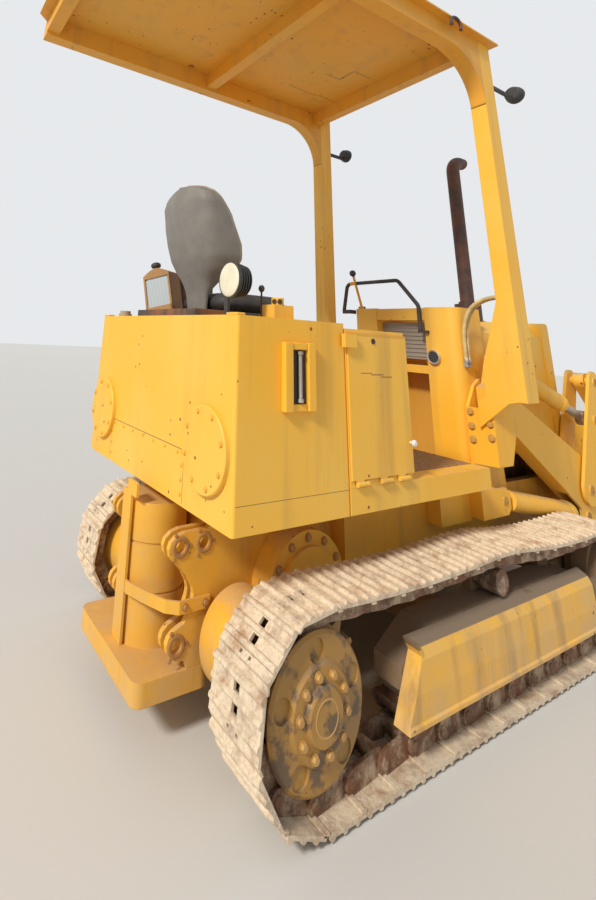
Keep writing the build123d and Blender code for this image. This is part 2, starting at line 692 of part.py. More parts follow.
def seat_back():
    outline = [
        (-185, SEAT_BASE_TOP + 0.3), (-65, SEAT_BASE_TOP + 0.3), (-60, 1640), (-100, 2080), (-130, 2140),
        (-190, 2150), (-225, 2090),
    ]
    return slab(outline, -245, 245)


# Canopy: two posts ahead of the operator, with side beams and a sheet reaching back over the seat
def canopy_posts():
    y0, y1 = -POST_Y - POST_WIDTH / 2, -POST_Y + POST_WIDTH / 2
    x0, x1 = POST_X - POST_DEPTH / 2, POST_X + POST_DEPTH / 2
    post = block(x0, x1, y0, y1, POST_BOTTOM, ROOF_UNDER + BEAM_HEIGHT)
    foot = wall(
        [(y0 + 5, 1600), (y0 + 5, POST_BOTTOM + 10), (y1, POST_BOTTOM - 14), (-486, 985), (-490, 1120),
         (-538, 1160), (-540, 1310), (y1, 1670)],
        x0, x0 + FOOT_PLATE,
    )
    sole = wall(
        [(y1 + 2, POST_BOTTOM - 12), (-562, 1051), (-562, 1071), (y1 + 2, POST_BOTTOM + 8)], x0, x1 - 20
    )
    return pair(post + foot + sole)


def canopy_roof():
    y0, y1 = -POST_Y - POST_WIDTH / 2, -POST_Y + POST_WIDTH / 2
    x0, x1 = POST_X - POST_DEPTH / 2, POST_X + POST_DEPTH / 2
    top = ROOF_UNDER + BEAM_HEIGHT
    beams = block(ROOF_REAR + 60, x0 - 0.3, y0, y0 + BEAM_WIDTH, ROOF_UNDER, top)
    corner_x, under = x0 - 0.3, ROOF_UNDER + 1
    middle = polar((corner_x - GUSSET, under - GUSSET), GUSSET, 45)
    arch = make_face(
        Polyline((corner_x, y0, under - GUSSET), (corner_x, y0, under), (corner_x - GUSSET, y0, under))
        + ThreePointArc((corner_x - GUSSET, y0, under), (middle[0], y0, middle[1]), (corner_x, y0, under - GUSSET))
    )
    beams += extrude(arch, POST_WIDTH, dir=(0, 1, 0))
    roof = beams + mirrored(beams)
    for x in (ROOF_REAR + 60, 330.0, x0 - 90):
        roof += block(x, x + 80, y0 + 5, -y0 - 5, ROOF_UNDER + 20, top)
    corner = 130.0
    sheet = layer(
        [(ROOF_REAR, -ROOF_HALF + corner), (ROOF_REAR + corner, -ROOF_HALF), (x1 + 40, -ROOF_HALF),
         (x1 + 40, ROOF_HALF), (ROOF_REAR + corner, ROOF_HALF), (ROOF_REAR, ROOF_HALF - corner)],
        top + 0.3, top + 0.3 + ROOF_SHEET,
    )
    return group(roof, sheet)


# Cowl: the dash between two rounded pillars behind the hood
def cowl():
    """The dash between two rounded pillars, with a bar and a ribbed plate across and a round gauge."""
    right = block(COWL_REAR, HOOD_REAR, -COWL_HALF, -COWL_INNER, COWL_BOTTOM, COWL_TOP)
    right = fillet(right.edges().filter_by(Axis.Z).sort_by(Axis.X)[:2].sort_by(Axis.Y)[0], COWL_ROUND)
    reach = COWL_INNER + 5
    whole = right + mirrored(right)
    whole += block(HOOD_REAR - 70, HOOD_REAR, -reach, reach, COWL_BOTTOM, COWL_TOP)
    whole += block(COWL_REAR + 4, COWL_REAR + 44, -reach, reach, DASH_BAR_Z, COWL_TOP - 4)
    whole += block(COWL_REAR + 30, HOOD_REAR - 65, -reach, reach, DASH_LEDGE_Z - 48, DASH_LEDGE_Z)
    ribbed = COWL_REAR + 60
    whole += block(ribbed, ribbed + 12, -reach, reach, DASH_LEDGE_Z + 37, DASH_BAR_Z - 12)
    for i in range(DASH_RIBS):
        z = DASH_LEDGE_Z + 52 + i * 26
        whole += block(ribbed - 6, ribbed + 1, 5 - COWL_INNER, COWL_INNER - 5, z, z + 9)
    gauge = Plane(origin=(COWL_REAR + 2, *GAUGE_PLACE), z_dir=(-1, 0, 0))
    return whole + extrude(gauge * Circle(GAUGE_RADIUS), 16)


def control_levers():
    """A bent grab handle over the dash, with its brackets, and an upright lever with a knob on the left pillar."""
    x = COWL_REAR - HANDLE_RADIUS - 3
    left = COWL_HALF + 66
    path = FilletPolyline(
        (x, left, 1640), (x, COWL_HALF + 24, HANDLE_TOP), (x, -18, HANDLE_TOP), (x, -163, 1660), (x, -163, 1500),
        radius=45,
    )
    handle = sweep(Plane(origin=path @ 0, z_dir=path % 0) * Circle(HANDLE_RADIUS), path=path)
    handle += block(x - 8, x + 8, COWL_HALF + 0.3, left + 10, 1615, 1643)
    handle += block(x - 8, COWL_REAR + 40, COWL_HALF + 0.3, COWL_HALF + 12, 1615, 1643)
    handle += block(x - 8, COWL_REAR - 0.3, -COWL_INNER - 30, -COWL_INNER + 35, 1488, 1504)
    foot = (COWL_REAR + 60, COWL_HALF - 40, COWL_TOP + 8)
    knob = (COWL_REAR - 2, COWL_HALF - 18, LEVER_KNOB_Z)
    stem = bar(foot, knob, 9) + Pos(*knob) * Sphere(24)
    stem += Pos(foot[0], foot[1], COWL_TOP + 10.3) * Cylinder(26, 20)
    return group(handle, stem)


def lamps():
    """Round lamps on brackets ahead of the canopy's posts, and two lamps beside the seat on the tank."""
    front = POST_X + POST_DEPTH / 2 + 0.3
    y = -LAMP_Y
    arm = block(front, LAMP_X - 20, y - 8, y + 8, LAMP_Z - 52, LAMP_Z - 22)
    arm += block(front, front + 10, y - 26, y + 8, LAMP_Z - 80, LAMP_Z + 10)
    face = Plane(origin=(LAMP_X - 32, y, LAMP_Z), z_dir=(1, 0, 0))
    shell = extrude(face * Circle(LAMP_RADIUS), 64, taper=-6)
    post_lamps = pair(arm + shell)
    x, y, z = ROUND_LAMP
    round_lamp = block(x - 8, x + 8, y - 12, y + 12, TANK_TOP + 0.3, z - 50)
    round_lamp += extrude(Plane(origin=(x + 22, y, z), z_dir=(-1, 0, 0)) * Circle(ROUND_LAMP_RADIUS), 44)
    x, y, z = SQUARE_LAMP
    half = SQUARE_LAMP_HALF
    square = block(x - 13, x + 13, y + half - 32, y + half - 12, TANK_TOP + 0.3, z - half + 10)
    square += block(x - 31, x + 31, y - half, y + half, z - half - 19, z + half + 19)
    return group(post_lamps, round_lamp, square)


def seat_console():
    """A framed panel box on the tank beside the seat."""
    x0, x1, y0, y1 = CONSOLE_PLAN
    body = block(x0, x1, y0, y1, TANK_TOP + 0.3, CONSOLE_TOP)
    return body - block(x0 - 1, x0 + 8, y0 + 18, y1 - 18, TANK_TOP + 30, CONSOLE_TOP - 23)


def hoses():
    """Two hoses from fittings on the cowl's side up to the inner face of the right-hand post."""
    parts = []
    post = -POST_Y + POST_WIDTH / 2 + 0.3
    y = -COWL_HALF - 11
    for x in HOSES_X:
        path = FilletPolyline(
            (x, y, HOSE_FOOT + 18), (x, y, HOSE_TURN), (x, post + 60, HOSE_HEAD), (x, post, HOSE_HEAD), radius=20
        )
        hose = sweep(Plane(origin=path @ 0, z_dir=path % 0) * Circle(HOSE_RADIUS), path=path)
        parts.append(hose + block(x - 11, x + 11, y - 9, -COWL_HALF - 0.3, HOSE_FOOT, HOSE_FOOT + 24))
    return group(*parts)


def hood():
    section = [
        (-HOOD_HALF, 800), (-HOOD_HALF, HOOD_TOP - 80), (-HOOD_HALF + 80, HOOD_TOP), (HOOD_HALF - 80, HOOD_TOP),
        (HOOD_HALF, HOOD_TOP - 80), (HOOD_HALF, 800),
    ]
    shell = wall(section, HOOD_REAR + 0.3, HOOD_FRONT)
    inner = [
        (-HOOD_HALF + SKIN, 799), (-HOOD_HALF + SKIN, HOOD_TOP - 83), (-HOOD_HALF + 83, HOOD_TOP - SKIN),
        (HOOD_HALF - 83, HOOD_TOP - SKIN), (HOOD_HALF - SKIN, HOOD_TOP - 83), (HOOD_HALF - SKIN, 799),
    ]
    return shell - wall(inner, HOOD_REAR - 1, HOOD_FRONT + 1)


def engine():
    return block(HOOD_REAR + 60, HOOD_FRONT - 120, -230, 230, RAIL_BOTTOM + 12.3, 1380)


def radiator_guard():
    """The guard round the radiator at the front, with slots for the air."""
    guard = block(HOOD_FRONT + 0.3, GUARD_FRONT, -HOOD_HALF - 10, HOOD_HALF + 10, RAIL_TOP + 0.3, HOOD_TOP + 20)
    guard = fillet(guard.edges().filter_by(Axis.Y).sort_by(Axis.Z)[-2:], 30)
    for i in range(7):
        z = 800 + i * 100
        guard -= block(GUARD_FRONT - 20, GUARD_FRONT + 1, -300, 300, z, z + 55)
    return guard


def exhaust():
    """A muffler's neck on the hood with an upright pipe, turned forward at its end."""
    foot = Pos(EXHAUST_X, EXHAUST_Y, HOOD_TOP + 0.3 + EXHAUST_FOOT / 2) * Cylinder(EXHAUST_FOOT_RADIUS, EXHAUST_FOOT)
    turn = EXHAUST_TOP - EXHAUST_RADIUS
    path = FilletPolyline(
        (EXHAUST_X, EXHAUST_Y, HOOD_TOP + EXHAUST_FOOT), (EXHAUST_X, EXHAUST_Y, turn),
        (EXHAUST_X + EXHAUST_REACH, EXHAUST_Y, turn), radius=EXHAUST_BEND,
    )
    pipe = sweep(Plane(origin=path @ 0, z_dir=path % 0) * Circle(EXHAUST_RADIUS), path=path)
    return foot + pipe


# Loader towers: an inner and an outer plate a side that hold the arms' heels
ARM_OUTER = ARM_Y + ARM_WIDTH / 2
ARM_INNER = ARM_Y - ARM_WIDTH / 2


def loader_towers():
    top = [(1560.3, 1085), (1640, 1200), (1700, 1235), (1780, 1215), (1835, 1150)]
    y_outer = -ARM_OUTER - SIDE_GAP
    y_inner = -ARM_INNER + SIDE_GAP
    outer = slab([(TOWER_REAR, 800), *top, (1830, 1080), (1700, 800)], y_outer - TOWER_PLATE, y_outer)
    inner = slab(
        [(TOWER_REAR, TOWER_BOTTOM), *top, (1840, 1050), (TOWER_FRONT, TOWER_BOTTOM)], y_inner, y_inner + TOWER_PLATE
    )
    flange = wall(
        [(y_outer - TOWER_PLATE, 800), (y_inner + TOWER_PLATE, 790), (y_inner + TOWER_PLATE, 1085),
         (y_outer - TOWER_PLATE, 1085)],
        TOWER_REAR, TOWER_REAR + TOWER_PLATE,
    )
    base_top = PLATFORM_BOTTOM - 0.3
    base = block(TOWER_BASE_REAR, TOWER_BASE_FRONT, -TOWER_BASE_OUTER, -COWL_HALF - 2, TOWER_BOTTOM, base_top)
    base += block(TOWER_BASE_REAR, COWL_REAR - 2, -COWL_HALF - 5, -CASE_HALF - 0.3, TOWER_BOTTOM, base_top)
    foot = block(CASE_FRONT + 5, TOWER_FRONT, -CASE_HALF - 5, -RAIL_OUTER - 0.3, TOWER_BOTTOM, 630)
    foot += block(TOWER_BASE_FRONT - 5, TOWER_FRONT, y_inner + 5, -CASE_HALF, TOWER_BOTTOM, 630)
    pin = disc(ARM_PIVOT, PIN_RADIUS, y_outer - TOWER_PLATE - 4, y_inner + TOWER_PLATE - 2)
    # The lift cylinder's eye sits between an ear and the inner plate
    ear_y = -ARM_Y - EYE_WIDTH / 2 - 5
    x, z = LIFT_BASE
    ear = slab(
        [(x - 220, z - 68), (x - 220, z + 62), (x + 20, z + 62), (x + 52, z + 30), (x + 52, z - 40), (x + 20, z - 68)],
        ear_y - 14, ear_y,
    )
    step = block(x - 220, TOWER_BASE_FRONT, ear_y - 5, -TOWER_BASE_OUTER + 5, z - 68, z + 62)
    step += block(x - 60, x - 54, ear_y - 5, y_inner + 5, z - 68, z + 62)
    lift_pin = disc(LIFT_BASE, BASE_PIN_RADIUS, ear_y - 16, y_inner + 5)
    return pair(outer + inner + flange + base + foot + pin + ear + step + lift_pin)


# Lift arms: box arms with a horn for the tilt cylinder at the heel and a knee over the lift cylinder
def lift_arms():
    profile = [
        (1640, 1060), (2330, 600), (2470, 500), (2476, 416), (2540, 385), (2610, 410), (3330, 178),
        (3430, 195), (3450, 270), (3400, 325), (2760, 640), (2560, 792), (1905, 1120), (1848, 1249),
        (1848, 1370), (1810, 1392), (1770, 1370), (1700, 1215), (1640, 1190),
    ]
    arm = slab(profile, -ARM_OUTER, -ARM_INNER)
    y0, y1 = -ARM_OUTER + ARM_PLATE, -ARM_INNER - ARM_PLATE
    pocket = slab(
        [(2300, 380), (2300, 560), (2420, 640), (2560, 560), (2640, 440), (2640, 380)], y0, y1
    )
    horn = slab([(1700, 1260), (2000, 1150), (2000, 1420), (1700, 1420)], y0, y1)
    arm = arm - pocket - horn
    arm -= disc(ARM_PIVOT, PIN_RADIUS + PIN_FIT, -ARM_OUTER - 1, -ARM_INNER + 1)
    arm -= disc(BUCKET_PIN, PIN_RADIUS + PIN_FIT, -ARM_OUTER - 1, -ARM_INNER + 1)
    arm += disc(TILT_BASE, BASE_PIN_RADIUS, -ARM_OUTER - 4, -ARM_INNER + 4)
    arm += disc(KNEE_PIVOT, PIN_RADIUS, -ARM_OUTER - SIDE_GAP - LEVER_PLATE - 4, -ARM_INNER + SIDE_GAP + LEVER_PLATE + 4)
    for y0, y1 in ((-ARM_OUTER - 6, -ARM_OUTER + 2), (-ARM_INNER - 2, -ARM_INNER + 6)):
        arm += disc(LIFT_PIN, BASE_PIN_RADIUS + 6, y0, y1)
    cross = bar((2960, -ARM_INNER - 5, 400), (2960, ARM_INNER + 5, 400), 70)
    return arm + mirrored(arm) + cross


def lever():
    outer = -ARM_OUTER - SIDE_GAP - LEVER_PLATE
    inner = -ARM_INNER + SIDE_GAP
    plate = stadium(KNEE_PIVOT, LEVER_TOP, 92, 70, outer, outer + LEVER_PLATE)
    plate += stadium(KNEE_PIVOT, LEVER_TOP, 92, 70, inner, inner + LEVER_PLATE)
    plate -= disc(KNEE_PIVOT, PIN_RADIUS + PIN_FIT, outer - 1, inner + LEVER_PLATE + 1)
    plate += disc(LEVER_TOP, PIN_RADIUS - 4, outer - 6, inner + LEVER_PLATE + 6)
    plate += disc(LEVER_TILT, BASE_PIN_RADIUS + 4, outer - 6, outer + 2)
    plate += disc(LEVER_TILT, BASE_PIN_RADIUS + 4, inner + LEVER_PLATE - 2, inner + LEVER_PLATE + 6)
    return plate


def bucket_link():
    y0, y1 = -ARM_Y - 32, -ARM_Y + 32
    link = stadium(LEVER_TOP, BUCKET_LINK, 55, 48, y0, y1)
    return link - disc(LEVER_TOP, PIN_RADIUS - 4 + PIN_FIT, y0 - 1, y1 + 1)


def unit(start, end):
    length = math.dist(start, end)
    return ((end[0] - start[0]) / length, (end[1] - start[1]) / length)


def along(start, direction, distance):
    return (start[0] + direction[0] * distance, start[1] + direction[1] * distance)


def cylinder(base, eye, barrel_radius, rod_radius, barrel_length, bore, inside):
    """A hydraulic cylinder: a barrel hinged at its base, and a rod with an eye at its far end."""
    direction = unit(base, eye)
    y = -ARM_Y

    def at(distance):
        x, z = along(base, direction, distance)
        return (x, y, z)

    barrel = bar(at(BARREL_START), at(barrel_length), barrel_radius)
    barrel += bar(at(barrel_length - 40), at(barrel_length), barrel_radius + 5)
    tail = along(base, direction, BARREL_START + 5)
    barrel += stadium(base, tail, BASE_PIN_RADIUS + 20, BASE_PIN_RADIUS + 12, y - EYE_WIDTH / 2, y + EYE_WIDTH / 2)
    barrel -= bar(at(barrel_length - bore), at(barrel_length + 1), rod_radius + ROD_FIT)
    barrel -= disc(base, BASE_PIN_RADIUS + PIN_FIT, y - EYE_WIDTH, y + EYE_WIDTH)
    rod = bar(at(barrel_length - inside), (eye[0], y, eye[1]), rod_radius)
    rod += disc(eye, rod_radius + 20, y - EYE_WIDTH / 2, y + EYE_WIDTH / 2)
    return barrel, rod


def bucket():
    floor = BUCKET_FLOOR
    r = HEEL_RADIUS
    rear = BUCKET_REAR
    heel = (rear + r, floor + r)
    outer = [(BUCKET_EDGE - 160, floor)]
    outer += [polar(heel, r, 270 - 90 * i / 8) for i in range(9)]
    outer += [(rear + BUCKET_BACK, BUCKET_BEND_Z), (rear + BUCKET_CREST, BUCKET_TOP)]
    t = BUCKET_PLATE
    inner = [(rear + BUCKET_CREST + t, BUCKET_TOP + 2), (rear + BUCKET_BACK + t, BUCKET_BEND_Z)]
    inner += [polar(heel, r - t, 180 + 90 * i / 8) for i in range(9)]
    inner += [(BUCKET_EDGE - 160, floor + t)]
    shell = slab(outer + inner, -BUCKET_HALF, BUCKET_HALF)
    side = [(BUCKET_EDGE - 100, floor)]
    side += [polar(heel, r, 270 - 90 * i / 8) for i in range(9)]
    side += [
        (rear + BUCKET_BACK, BUCKET_BEND_Z), (rear + BUCKET_CREST, BUCKET_TOP),
        (rear + BUCKET_CREST + 180, BUCKET_TOP - 30), (BUCKET_EDGE - 60, 150),
    ]
    for y in (-BUCKET_HALF, BUCKET_HALF - BUCKET_SIDE):
        shell += slab(side, y, y + BUCKET_SIDE)
    edge = slab(
        [(BUCKET_EDGE - 200, 4), (BUCKET_EDGE - 20, 4), (BUCKET_EDGE, 12), (BUCKET_EDGE - 60, 30), (BUCKET_EDGE - 200, 30)],
        -BUCKET_HALF - 10, BUCKET_HALF + 10,
    )
    shell += edge
    ear = slab(
        [(BUCKET_PIN[0] - 35, BUCKET_PIN[1] - 70), (rear + 140, 60), (rear + 140, BUCKET_BEND_Z), (rear + 100, 720),
         (BUCKET_LINK[0] - 20, BUCKET_LINK[1] + 60), (BUCKET_LINK[0] - 60, BUCKET_LINK[1]),
         (BUCKET_PIN[0] - 50, BUCKET_PIN[1] + 40)],
        0, 18,
    )
    cut = block(rear + 30, rear + 400, -60, 60, 0, 900)
    outer_y = -ARM_OUTER - SIDE_GAP - 18
    inner_y = -ARM_INNER + SIDE_GAP
    inside = slab(inner + [(BUCKET_EDGE + 100, floor + t), (BUCKET_EDGE + 100, BUCKET_TOP + 2)], -BUCKET_HALF - 20, BUCKET_HALF + 20)
    for y in (outer_y, inner_y, -outer_y - 18, -inner_y - 18):
        shell += (Pos(0, y, 0) * ear) - inside
    pin = disc(BUCKET_PIN, PIN_RADIUS, outer_y - 4, inner_y + 22)
    return shell + pin + mirrored(pin)


def bucket_teeth():
    parts = []
    first = -BUCKET_HALF + BUCKET_SIDE + 2
    step = (-2 * first - TOOTH_WIDTH) / (TOOTH_COUNT - 1)
    for i in range(TOOTH_COUNT):
        y = first + step * i
        outline = [
            (BUCKET_EDGE - 150, 30.3), (BUCKET_EDGE - 60, 30.3), (BUCKET_EDGE + 1, 13), (BUCKET_EDGE + 110, 4),
            (BUCKET_EDGE + 112, 12), (BUCKET_EDGE, 66), (BUCKET_EDGE - 120, 66),
        ]
        parts.append(slab(outline, y, y + TOOTH_WIDTH))
    return group(*parts)


def build():
    """Every node of the machine by name, in the modelling frame."""
    nodes = {
        "main_frame": main_frame(),
        "final_drives": final_drives(),
        "rear_hitch": rear_hitch(),
        "counterweight": counterweight(),
        "counterweight_strap": counterweight_strap(),
        "sprockets": sprockets(),
        "idlers": idlers(),
        "track_frames": track_frames(),
        "track_rollers": track_rollers(),
        "carrier_rollers": carrier_rollers(),
        "track_guards": track_guards(),
        "track_right": track(-1),
        "track_left": track(1),
        "platform": platform(),
        "rear_tank": rear_tank(),
        "side_boxes": side_boxes(),
        "side_door": side_door(),
        "sight_gauge": sight_gauge(),
        "seat_base": seat_base(),
        "seat_cushion": seat_cushion(),
        "seat_back": seat_back(),
        "canopy_posts": canopy_posts(),
        "canopy_roof": canopy_roof(),
        "cowl": cowl(),
        "control_levers": control_levers(),
        "lamps": lamps(),
        "seat_console": seat_console(),
        "hoses": hoses(),
        "hood": hood(),
        "engine": engine(),
        "radiator_guard": radiator_guard(),
        "exhaust": exhaust(),
        "loader_towers": loader_towers(),
        "lift_arms": lift_arms(),
        "bucket": bucket(),
        "bucket_teeth": bucket_teeth(),
    }
    lift_barrel, lift_rod = cylinder(
        LIFT_BASE, LIFT_PIN, LIFT_BARREL_RADIUS, LIFT_ROD_RADIUS, LIFT_BARREL, LIFT_BORE, LIFT_INSIDE
    )
    tilt_barrel, tilt_rod = cylinder(
        TILT_BASE, LEVER_TILT, TILT_BARREL_RADIUS, TILT_ROD_RADIUS, TILT_BARREL, TILT_BORE, TILT_INSIDE
    )
    handed = {
        "lever": lever(),
        "bucket_link": bucket_link(),
        "lift_barrel": lift_barrel,
        "lift_rod": lift_rod,
        "tilt_barrel": tilt_barrel,
        "tilt_rod": tilt_rod,
    }
    for name, right in handed.items():
        nodes[name + "_right"] = right
        nodes[name + "_left"] = mirrored(right)
    return nodes


NODES = build()
WHOLE = group(*NODES.values()).bounding_box()
SHIFT = (-(WHOLE.min.X + WHOLE.max.X) / 2, -(WHOLE.min.Y + WHOLE.max.Y) / 2, -WHOLE.min.Z)

if __name__ == "__main__":
    os.makedirs("parts", exist_ok=True)
    for node_name, shape in NODES.items():
        export_step(Pos(*SHIFT) * shape, "parts/" + node_name + ".step")
    print("size", WHOLE.size, "shift", [round(value, 3) for value in SHIFT])
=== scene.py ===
import bmesh
import bpy
import math
import numpy as np
from mathutils import Matrix, Vector


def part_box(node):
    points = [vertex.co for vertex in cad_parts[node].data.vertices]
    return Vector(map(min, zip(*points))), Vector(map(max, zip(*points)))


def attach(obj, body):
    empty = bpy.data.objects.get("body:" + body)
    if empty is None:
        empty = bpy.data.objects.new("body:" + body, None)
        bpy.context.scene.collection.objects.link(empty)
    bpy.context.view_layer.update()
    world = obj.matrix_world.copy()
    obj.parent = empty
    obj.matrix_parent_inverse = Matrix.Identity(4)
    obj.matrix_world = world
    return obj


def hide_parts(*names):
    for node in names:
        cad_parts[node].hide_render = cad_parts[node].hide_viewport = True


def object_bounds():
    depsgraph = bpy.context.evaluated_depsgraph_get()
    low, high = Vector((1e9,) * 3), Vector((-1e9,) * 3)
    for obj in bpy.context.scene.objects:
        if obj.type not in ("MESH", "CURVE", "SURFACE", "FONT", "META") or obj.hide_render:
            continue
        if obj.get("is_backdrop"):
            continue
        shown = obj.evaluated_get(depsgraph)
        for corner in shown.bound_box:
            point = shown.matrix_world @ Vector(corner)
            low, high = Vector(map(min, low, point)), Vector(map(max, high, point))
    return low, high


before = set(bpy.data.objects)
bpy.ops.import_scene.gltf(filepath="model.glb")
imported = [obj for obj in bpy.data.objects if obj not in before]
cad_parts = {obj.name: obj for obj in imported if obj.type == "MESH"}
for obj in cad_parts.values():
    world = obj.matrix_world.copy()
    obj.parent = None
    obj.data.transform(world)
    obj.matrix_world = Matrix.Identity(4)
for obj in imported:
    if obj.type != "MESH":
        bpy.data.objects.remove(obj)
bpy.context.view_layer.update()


# Studio: a pale floor, a pale sky that lights all sides evenly, and one large soft lamp from behind
# the machine on its right. The camera stands close to the right rear corner, at head height.
scene = bpy.context.scene
scene.view_settings.view_transform = "Standard"

# The sprockets' axle: sizes in this script are metres from it, as the machine is measured
low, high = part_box("sprockets")
AXLE_X = (low.x + high.x) / 2


def at(x, y, z):
    """A point measured from the sprockets' axle, the middle of the machine and the ground."""
    return Vector((AXLE_X + x, y, z))


CAMERA_HEADING = math.radians(59.71)
CAMERA_RISE = math.radians(17.02)
CAMERA_ROLL = math.radians(-3.22)
PHOTO_WIDTH, PHOTO_HEIGHT = 596, 900
SENSOR = 36
FOCAL_PIXELS = 476.9
CENTRE_COLUMN, CENTRE_ROW = 194.6, 189.5
CAMERA_PLACE = at(-1.3746, -2.1627, 1.3923)
forward = Vector((
    math.cos(CAMERA_RISE) * math.cos(CAMERA_HEADING), math.cos(CAMERA_RISE) * math.sin(CAMERA_HEADING),
    math.sin(CAMERA_RISE),
))
across = Matrix.Rotation(CAMERA_ROLL, 3, forward) @ forward.cross(Vector((0, 0, 1))).normalized()
above = across.cross(forward)
camera_data = bpy.data.cameras.new("camera")
camera_data.sensor_fit = "VERTICAL"
camera_data.sensor_height = SENSOR
camera_data.lens = SENSOR * FOCAL_PIXELS / PHOTO_HEIGHT
camera_data.shift_x = (PHOTO_WIDTH / 2 - CENTRE_COLUMN) / PHOTO_HEIGHT
camera_data.shift_y = (CENTRE_ROW - PHOTO_HEIGHT / 2) / PHOTO_HEIGHT
camera_data.clip_end = 200
camera = bpy.data.objects.new("camera", camera_data)
camera.matrix_world = Matrix.Translation(CAMERA_PLACE) @ Matrix((
    (across.x, above.x, -forward.x), (across.y, above.y, -forward.y), (across.z, above.z, -forward.z),
)).to_4x4()
scene.collection.objects.link(camera)
scene.camera = camera


def node(tree, kind, inputs=None, **settings):
    """Adds a shader node. An input is a value or another node's socket."""
    made = tree.nodes.new("ShaderNode" + kind)
    for name, value in settings.items():
        setattr(made, name, value)
    for name, value in (inputs or {}).items():
        if isinstance(value, bpy.types.NodeSocket):
            tree.links.new(value, made.inputs[name])
        else:
            made.inputs[name].default_value = value
    return made


def math_node(tree, operation, *values):
    """A Math node's result."""
    return node(tree, "Math", dict(enumerate(values)), operation=operation).outputs[0]


# A strength below 1 lights the machine, and what the camera or gloss sees is a little paler
SKY_LIGHT = 0.52
SKY_SEEN = 0.93
world = bpy.data.worlds.new("sky")
scene.world = world
world.use_nodes = True
tree = world.node_tree
tree.nodes.clear()
rays = node(tree, "LightPath")
seen = math_node(tree, "MAXIMUM", rays.outputs["Is Camera Ray"], rays.outputs["Is Glossy Ray"])
seen = math_node(tree, "MAXIMUM", seen, rays.outputs["Is Transmission Ray"])
light = node(tree, "Background", {"Color": (0.93, 0.96, 1.0, 1), "Strength": SKY_LIGHT})
backdrop = node(tree, "Background", {"Color": (0.86, 0.88, 0.9, 1), "Strength": SKY_SEEN})
both = node(tree, "MixShader", {0: seen, 1: light.outputs[0], 2: backdrop.outputs[0]})
node(tree, "OutputWorld", {"Surface": both.outputs[0]})

LAMP_FROM = Vector((-0.80, -0.24, 0.62)).normalized()
LAMP_STRENGTH = 2.9
LAMP_SPREAD = math.radians(9)
lamp_data = bpy.data.lights.new("key_lamp", "SUN")
lamp_data.energy = LAMP_STRENGTH
lamp_data.angle = LAMP_SPREAD
lamp_data.color = (1.0, 0.95, 0.86)
lamp = bpy.data.objects.new("key_lamp", lamp_data)
lamp.rotation_euler = LAMP_FROM.to_track_quat("Z", "Y").to_euler()
scene.collection.objects.link(lamp)

FLOOR_HALF = 40.0
FLOOR_GAP = 0.0005
floor_mesh = bpy.data.meshes.new("floor")
floor_mesh.from_pydata(
    [(x * FLOOR_HALF, y * FLOOR_HALF, -FLOOR_GAP) for x, y in ((-1, -1), (1, -1), (1, 1), (-1, 1))],
    [], [(0, 1, 2, 3)],
)
floor = bpy.data.objects.new("floor", floor_mesh)
scene.collection.objects.link(floor)
floor_paint = bpy.data.materials.new("floor_paint")
floor_paint.use_nodes = True
floor_shader = floor_paint.node_tree.nodes["Principled BSDF"]
floor_shader.inputs["Roughness"].default_value = 0.85
grain = node(floor_paint.node_tree, "TexNoise", {"Scale": 3.0, "Detail": 6.0})
grain_colour = node(floor_paint.node_tree, "ValToRGB", {0: grain.outputs[0]})
grain_colour.color_ramp.elements[0].color = (0.60, 0.59, 0.57, 1)
grain_colour.color_ramp.elements[1].color = (0.70, 0.69, 0.67, 1)
floor_paint.node_tree.links.new(grain_colour.outputs[0], floor_shader.inputs["Base Color"])
floor_mesh.materials.append(floor_paint)
floor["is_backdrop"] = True


# Main frame and final drives: the welded case behind, its rails and its bolted round covers, all in the
# machine's yellow enamel. It is faded in the sun, streaked by rain, chipped to rust in patches and in
# spots, and dusted where it faces up or lies near the ground.
def new_group(name, inputs, outputs):
    """A shader node group with its sockets: name, kind and starting value."""
    group = bpy.data.node_groups.new(name, "ShaderNodeTree")
    for label, kind, value in inputs:
        made = group.interface.new_socket(label, in_out="INPUT", socket_type="NodeSocket" + kind)
        made.default_value = value
    for label, kind in outputs:
        group.interface.new_socket(label, in_out="OUTPUT", socket_type="NodeSocket" + kind)
    return group


def mixed(tree, share, a, b, blend="MIX"):
    """The colour a turned into b by a share."""
    made = tree.nodes.new("ShaderNodeMix")
    made.data_type = "RGBA"
    made.blend_type = blend
    for socket, value in ((made.inputs[0], share), (made.inputs[6], a), (made.inputs[7], b)):
        if isinstance(value, bpy.types.NodeSocket):
            tree.links.new(value, socket)
        else:
            socket.default_value = value
    return made.outputs[2]


def band(tree, value, start, end):
    """A value brought to 0 at start and 1 at end, and held outside them."""
    made = node(tree, "MapRange", {"Value": value, "From Min": start, "From Max": end}, clamp=True)
    return made.outputs["Result"]


def noise(tree, place, scale, detail=4.0, roughness=0.55, stretch=(1, 1, 1)):
    """Cloudy noise over object coordinates, stretched along an axis by a small factor."""
    mapped = node(tree, "Mapping", {"Vector": place, "Scale": stretch}).outputs[0]
    inputs = {"Vector": mapped, "Scale": scale, "Detail": detail, "Roughness": roughness}
    return node(tree, "TexNoise", inputs).outputs[0]


